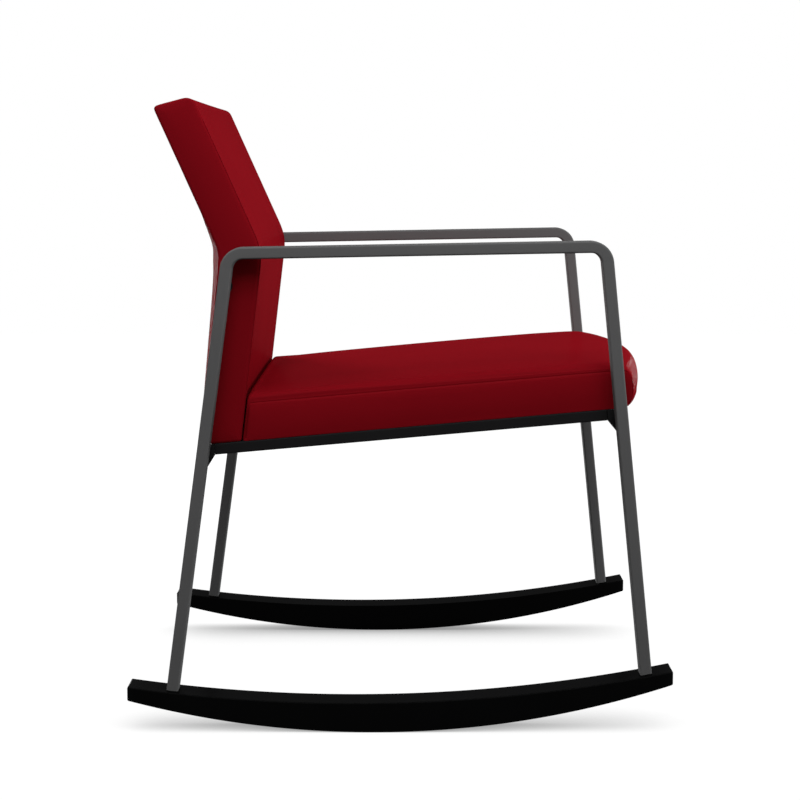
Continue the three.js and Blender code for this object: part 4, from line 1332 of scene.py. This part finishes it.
class CHAIR_OT_brackets(bpy.types.Operator):
    """Shape the brackets that carry the seat frame: a sloped plate on the leg and a tongue into the rail"""

    bl_idname = "rocking_chair.brackets"
    bl_label = "Leg Brackets"

    def execute(self, context):
        plan, s = Plan(), settings().brackets
        rail_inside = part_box("seat_rail_left")[0].y
        outer = plan.leg_inside - FIT_GAP
        sideways = (math.radians(90), 0, 0)
        kinds = (("rear", -1, s.rear_gap, s.rear_height), ("front", 1, s.front_gap, s.front_height))
        for name, way, gap, height in kinds:
            leg = plan.legs[name]

            def past(above, beyond, leg=leg, way=way):
                """A point so far beyond the leg's middle line, at a height over the seat frame."""
                on_line = meet(leg.foot, leg.up, plan.from_seat(0, above), plan.seat_along)
                return on_line + plan.seat_along * way * beyond

            end = plan.to_seat(past(0, FIT_GAP - gap))[0]
            outline = [
                plan.from_seat(end, 0),
                past(0, s.cover),
                past(-height, s.cover),
                past(-height, -s.foot),
                plan.from_seat(end, -s.rail_height),
            ]
            begin(
                bpy.ops.mesh.primitive_circle_add,
                vertices=len(outline),
                radius=height / 2,
                fill_type="NGON",
                location=in_space(outline[0], outer),
                rotation=sideways,
            )
            corners = [v.co.copy() for v in bmesh.from_edit_mesh(bpy.context.object.data).verts]
            for i, (corner, point) in enumerate(zip(corners, outline)):
                pick(lambda v, i=i: v.index == i, "VERT")
                bpy.ops.transform.translate(value=in_space(point, outer) - corner)
            bpy.ops.mesh.select_mode(type="FACE")
            bpy.ops.mesh.select_all(action="SELECT")
            extrude(Vector((0, -s.plate, 0)))
            tidy()
            piece = close(f"leg_bracket_{name}_left_formed")
            in_rail = plan.from_seat(end + way * s.tongue / 2, -s.rail_height / 2)
            begin(
                bpy.ops.mesh.primitive_cube_add,
                size=1,
                location=in_space(in_rail, (rail_inside + outer - s.edge) / 2),
                rotation=(0, -settings().seat.angle, 0),
                scale=(s.tongue - s.edge / 3, outer - s.edge - rail_inside, s.rail_height - s.edge / 3),
            )
            cut(piece, close("tongue"), "UNION")
            for level in ("lower", "upper"):
                low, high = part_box(f"bracket_screw_{name}_{level}_left")
                at = ((low.x + high.x) / 2, outer, (low.z + high.z) / 2)
                cut(piece, cylinder("hole", 32, s.hole / 2, 4 * s.plate, location=at, rotation=sideways))
            modify(
                piece, "BEVEL", width=s.edge, segments=2, limit_method="ANGLE", angle_limit=math.radians(50)
            )
            alone(piece)
            bpy.ops.object.shade_smooth_by_angle(angle=SMOOTH_ANGLE)
            both_sides(piece, f"leg_bracket_{name}", "Black steel paint")
        return {"FINISHED"}


class CHAIR_OT_dust_cover(bpy.types.Operator):
    """Cut the thin cloth that closes the seat below, and staple it to the board"""

    bl_idname = "rocking_chair.dust_cover"
    bl_label = "Dust Cover"

    def execute(self, context):
        plan, s = Plan(), settings().dust_cover
        low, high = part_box("seat_dust_cover")
        start, end = (plan.to_seat(Vector((x, z)))[0] for x, z in ((low.x, low.z), (high.x, high.z)))
        half = high.y
        columns, rows = 86, 98

        def sag(along, y):
            """How far the cloth hangs below its edges, with small puckers between the staples."""
            u, v = 2 * (along - start) / (end - start) - 1, y / half
            middle = (1 - u**2) * (1 - v**2)
            ripple = 0.0
            for inside, beside in ((half - abs(y), along), (min(along - start, end - along), y)):
                fold = 0.5 - 0.5 * math.cos(2 * math.pi * beside / s.staple_step)
                ripple += fold * math.exp(-inside / s.pucker_reach) * min(1.0, inside / 0.004)
            return s.sag * middle + s.pucker * ripple

        mesh = bmesh.new()
        grid = []
        ys = [-half + 2 * half * j / rows for j in range(rows + 1)]
        for i in range(columns + 1):
            along = start + (end - start) * i / columns
            drops = [plan.from_seat(along, -FIT_GAP - sag(along, y)) for y in ys]
            grid.append([mesh.verts.new(in_space(drop, y)) for drop, y in zip(drops, ys)])
        for before, after in zip(grid, grid[1:]):
            for j in range(rows):
                mesh.faces.new((before[j], before[j + 1], after[j + 1], after[j]))
        bmesh.ops.recalc_face_normals(mesh, faces=mesh.faces)
        if sum(face.normal.z for face in mesh.faces) < 0:
            bmesh.ops.reverse_faces(mesh, faces=mesh.faces)
        data = bpy.data.meshes.new("dust_cover_cloth")
        mesh.to_mesh(data)
        mesh.free()
        piece = bpy.data.objects.new("dust_cover_cloth", data)
        context.scene.collection.objects.link(piece)
        modify(piece, "SOLIDIFY", thickness=s.thickness, offset=-1)
        bpy.ops.object.shade_smooth_by_angle(angle=SMOOTH_ANGLE)
        settle(piece, "seat_dust_cover", "Black dust cloth")
        return {"FINISHED"}


class CHAIR_OT_carried_pieces(bpy.types.Operator):
    """Finish the pieces that keep their plain shape: seat frame, straps, boards and hidden hardware"""

    bl_idname = "rocking_chair.carried_pieces"
    bl_label = "Seat Frame and Inner Pieces"

    def execute(self, context):
        steel = ("seat_rail", "front_cross", "rear_cross", "leg_bracket", "back_strap")
        kinds = {
            **dict.fromkeys(steel, "Black steel paint"),
            "seat_board": "Birch plywood",
            "back_panel": "Upright plywood",
            "foot_insert": "Black nylon",
        }
        for name, node in NODES.items():
            chosen = next((kind for start, kind in kinds.items() if name.startswith(start)), "Zinc plate")
            node.data.materials.clear()
            node.data.materials.append(material_named(chosen))
            if not name.startswith(tuple(kinds)):
                continue
            weld = node.modifiers.new("Weld", "WELD")
            weld.merge_threshold = 1e-5
            bevel = node.modifiers.new("Bevel", "BEVEL")
            bevel.width, bevel.segments = EDGE, 2
            bevel.limit_method, bevel.angle_limit = "ANGLE", math.radians(50)
        return {"FINISHED"}


class CHAIR_OT_studio(bpy.types.Operator):
    """Set the floor, the lamps, the pale surroundings and the camera"""

    bl_idname = "rocking_chair.studio"
    bl_label = "Studio"

    def execute(self, context):
        s = settings().studio
        scene = bpy.context.scene
        scene.view_settings.view_transform = "Standard"

        begin(bpy.ops.mesh.primitive_plane_add, size=12, location=(0, 0, 0))
        bpy.ops.object.mode_set(mode="OBJECT")
        floor = bpy.context.object
        floor.name = "floor"
        floor.data.materials.append(self.floor_finish(s))

        world = bpy.data.worlds.new("Studio surroundings")
        scene.world = world
        world.use_nodes = True
        nodes = Nodes(world.node_tree)
        background = world.node_tree.nodes["Background"]
        path, seen = nodes.seen()
        matte = nodes.maths("MULTIPLY", path["Is Diffuse Ray"], s.ambient)
        world.node_tree.links.new(nodes.maths("MAXIMUM", seen, matte), background.inputs["Strength"])
        background.inputs["Color"].default_value = (1, 1, 1, 1)

        # Name, power, place, width and height of each lamp, all turned to the chair's middle
        target = Vector((0, 0, 0.42))
        lamps = (
            ("lamp_key", s.key, (0.1, -1.2, 1.5), 1.3, 0.6),
            ("lamp_above", s.above, (0.3, -1.0, 2.8), 1.8, 1.6),
            ("lamp_ahead", s.front, (1.25, 0.05, 0.58), 1.0, 0.6),
            ("lamp_behind", s.rear, (-2.2, 0.3, 1.5), 1.4, 1.2),
            ("strip_ahead", s.strip_ahead, (1.1, 2.6, 0.5), 0.18, 0.7),
            ("strip_behind", s.strip_behind, (-0.93, 2.4, 0.75), 0.4, 1.3),
        )
        for name, power, place, wide, high in lamps:
            light = bpy.data.lights.new(name, "AREA")
            light.shape = "RECTANGLE"
            light.size, light.size_y, light.energy = wide, high, power
            lamp = bpy.data.objects.new(name, light)
            scene.collection.objects.link(lamp)
            lamp.location = place
            lamp.rotation_euler = (target - Vector(place)).to_track_quat("-Z", "Y").to_euler()

        camera = bpy.data.cameras.new("camera")
        camera.lens, camera.sensor_width = 90, 36
        eye = bpy.data.objects.new("camera", camera)
        scene.collection.objects.link(eye)
        eye.location = (0, -2.8564, 0.7298)
        eye.rotation_euler = (math.radians(83.414), 0, 0)
        scene.camera = eye
        return {"FINISHED"}

    def floor_finish(self, s):
        """White floor with a painted contact shadow: its glow for the eye is dimmed by ambient occlusion
        under the chair, and it fades into the white surroundings.
        """
        material = bpy.data.materials.new("Pale floor")
        material.use_nodes = True
        tree = material.node_tree
        nodes = Nodes(tree)
        shader = tree.nodes["Principled BSDF"]
        fixed = {
            "Base Color": (0.03, 0.03, 0.03, 1),
            "Roughness": 0.9,
            "Specular IOR Level": 0.0,
            "Emission Color": (1, 1, 1, 1),
        }
        for key, value in fixed.items():
            shader.inputs[key].default_value = value
        place = nodes.place()
        distance = nodes.add("ShaderNodeVectorMath", {0: place}, operation="LENGTH").outputs["Value"]
        fade = nodes.ranged(distance, 0.45, 1.3, 0.0, 1.0, interpolation_type="SMOOTHSTEP")
        # Painted shadow: ambient occlusion, sampled along a normal tilted outwards from the chair's middle,
        # dims the floor's glow under and just inside each runner
        lean = nodes.vector("ADD", nodes.vector("MULTIPLY", place, (0, s.painted_shadow_lean, 0)), (0, 0, 1))
        way = nodes.vector("NORMALIZE", lean)
        shaded = {"Distance": s.painted_shadow_reach, "Normal": way}
        painted_shadow_occlusion = nodes.add("ShaderNodeAmbientOcclusion", shaded, samples=16)
        clear = nodes.ranged(painted_shadow_occlusion.outputs["AO"], 0.0, 0.9, s.painted_shadow_glow, s.floor_glow)
        glow = nodes.maths("MULTIPLY", nodes.maths("MAXIMUM", clear, fade), nodes.seen()[1])
        tree.links.new(glow, shader.inputs["Emission Strength"])
        return material


STEPS = (
    CHAIR_OT_side_frames,
    CHAIR_OT_runners,
    CHAIR_OT_seat_cushion,
    CHAIR_OT_back_cushion,
    CHAIR_OT_screws,
    CHAIR_OT_spacers,
    CHAIR_OT_brackets,
    CHAIR_OT_dust_cover,
    CHAIR_OT_carried_pieces,
    CHAIR_OT_studio,
)


class CHAIR_PT_panel(bpy.types.Panel):
    """Sizes, colours and steps of the rocking chair"""

    bl_idname = "CHAIR_PT_panel"
    bl_label = "Rocking Chair"
    bl_space_type = "VIEW_3D"
    bl_region_type = "UI"
    bl_category = "Rocking Chair"

    def draw(self, context):
        chair = context.scene.rocking_chair
        for step in STEPS:
            self.layout.operator(step.bl_idname)
        for name, kind in ChairSettings.__annotations__.items():
            box = self.layout.box()
            box.label(text=name.replace("_", " ").capitalize())
            owner = getattr(chair, name)
            for key in owner.__annotations__:
                box.prop(owner, key)


CLASSES = (
    ChairFrameSizes,
    ChairRunnerSizes,
    ChairSeatSizes,
    ChairBackSizes,
    ChairBracketSizes,
    ChairDustCoverSizes,
    ChairFinishes,
    ChairStudio,
    ChairSettings,
    *STEPS,
    CHAIR_PT_panel,
)


def register():
    for kind in CLASSES:
        bpy.utils.register_class(kind)
    bpy.types.Scene.rocking_chair = PointerProperty(type=ChairSettings)


def unregister():
    del bpy.types.Scene.rocking_chair
    for kind in reversed(CLASSES):
        bpy.utils.unregister_class(kind)


def main():
    register()
    for step in STEPS:
        area, name = step.bl_idname.split(".")
        getattr(getattr(bpy.ops, area), name)()


if __name__ == "__main__":
    main()
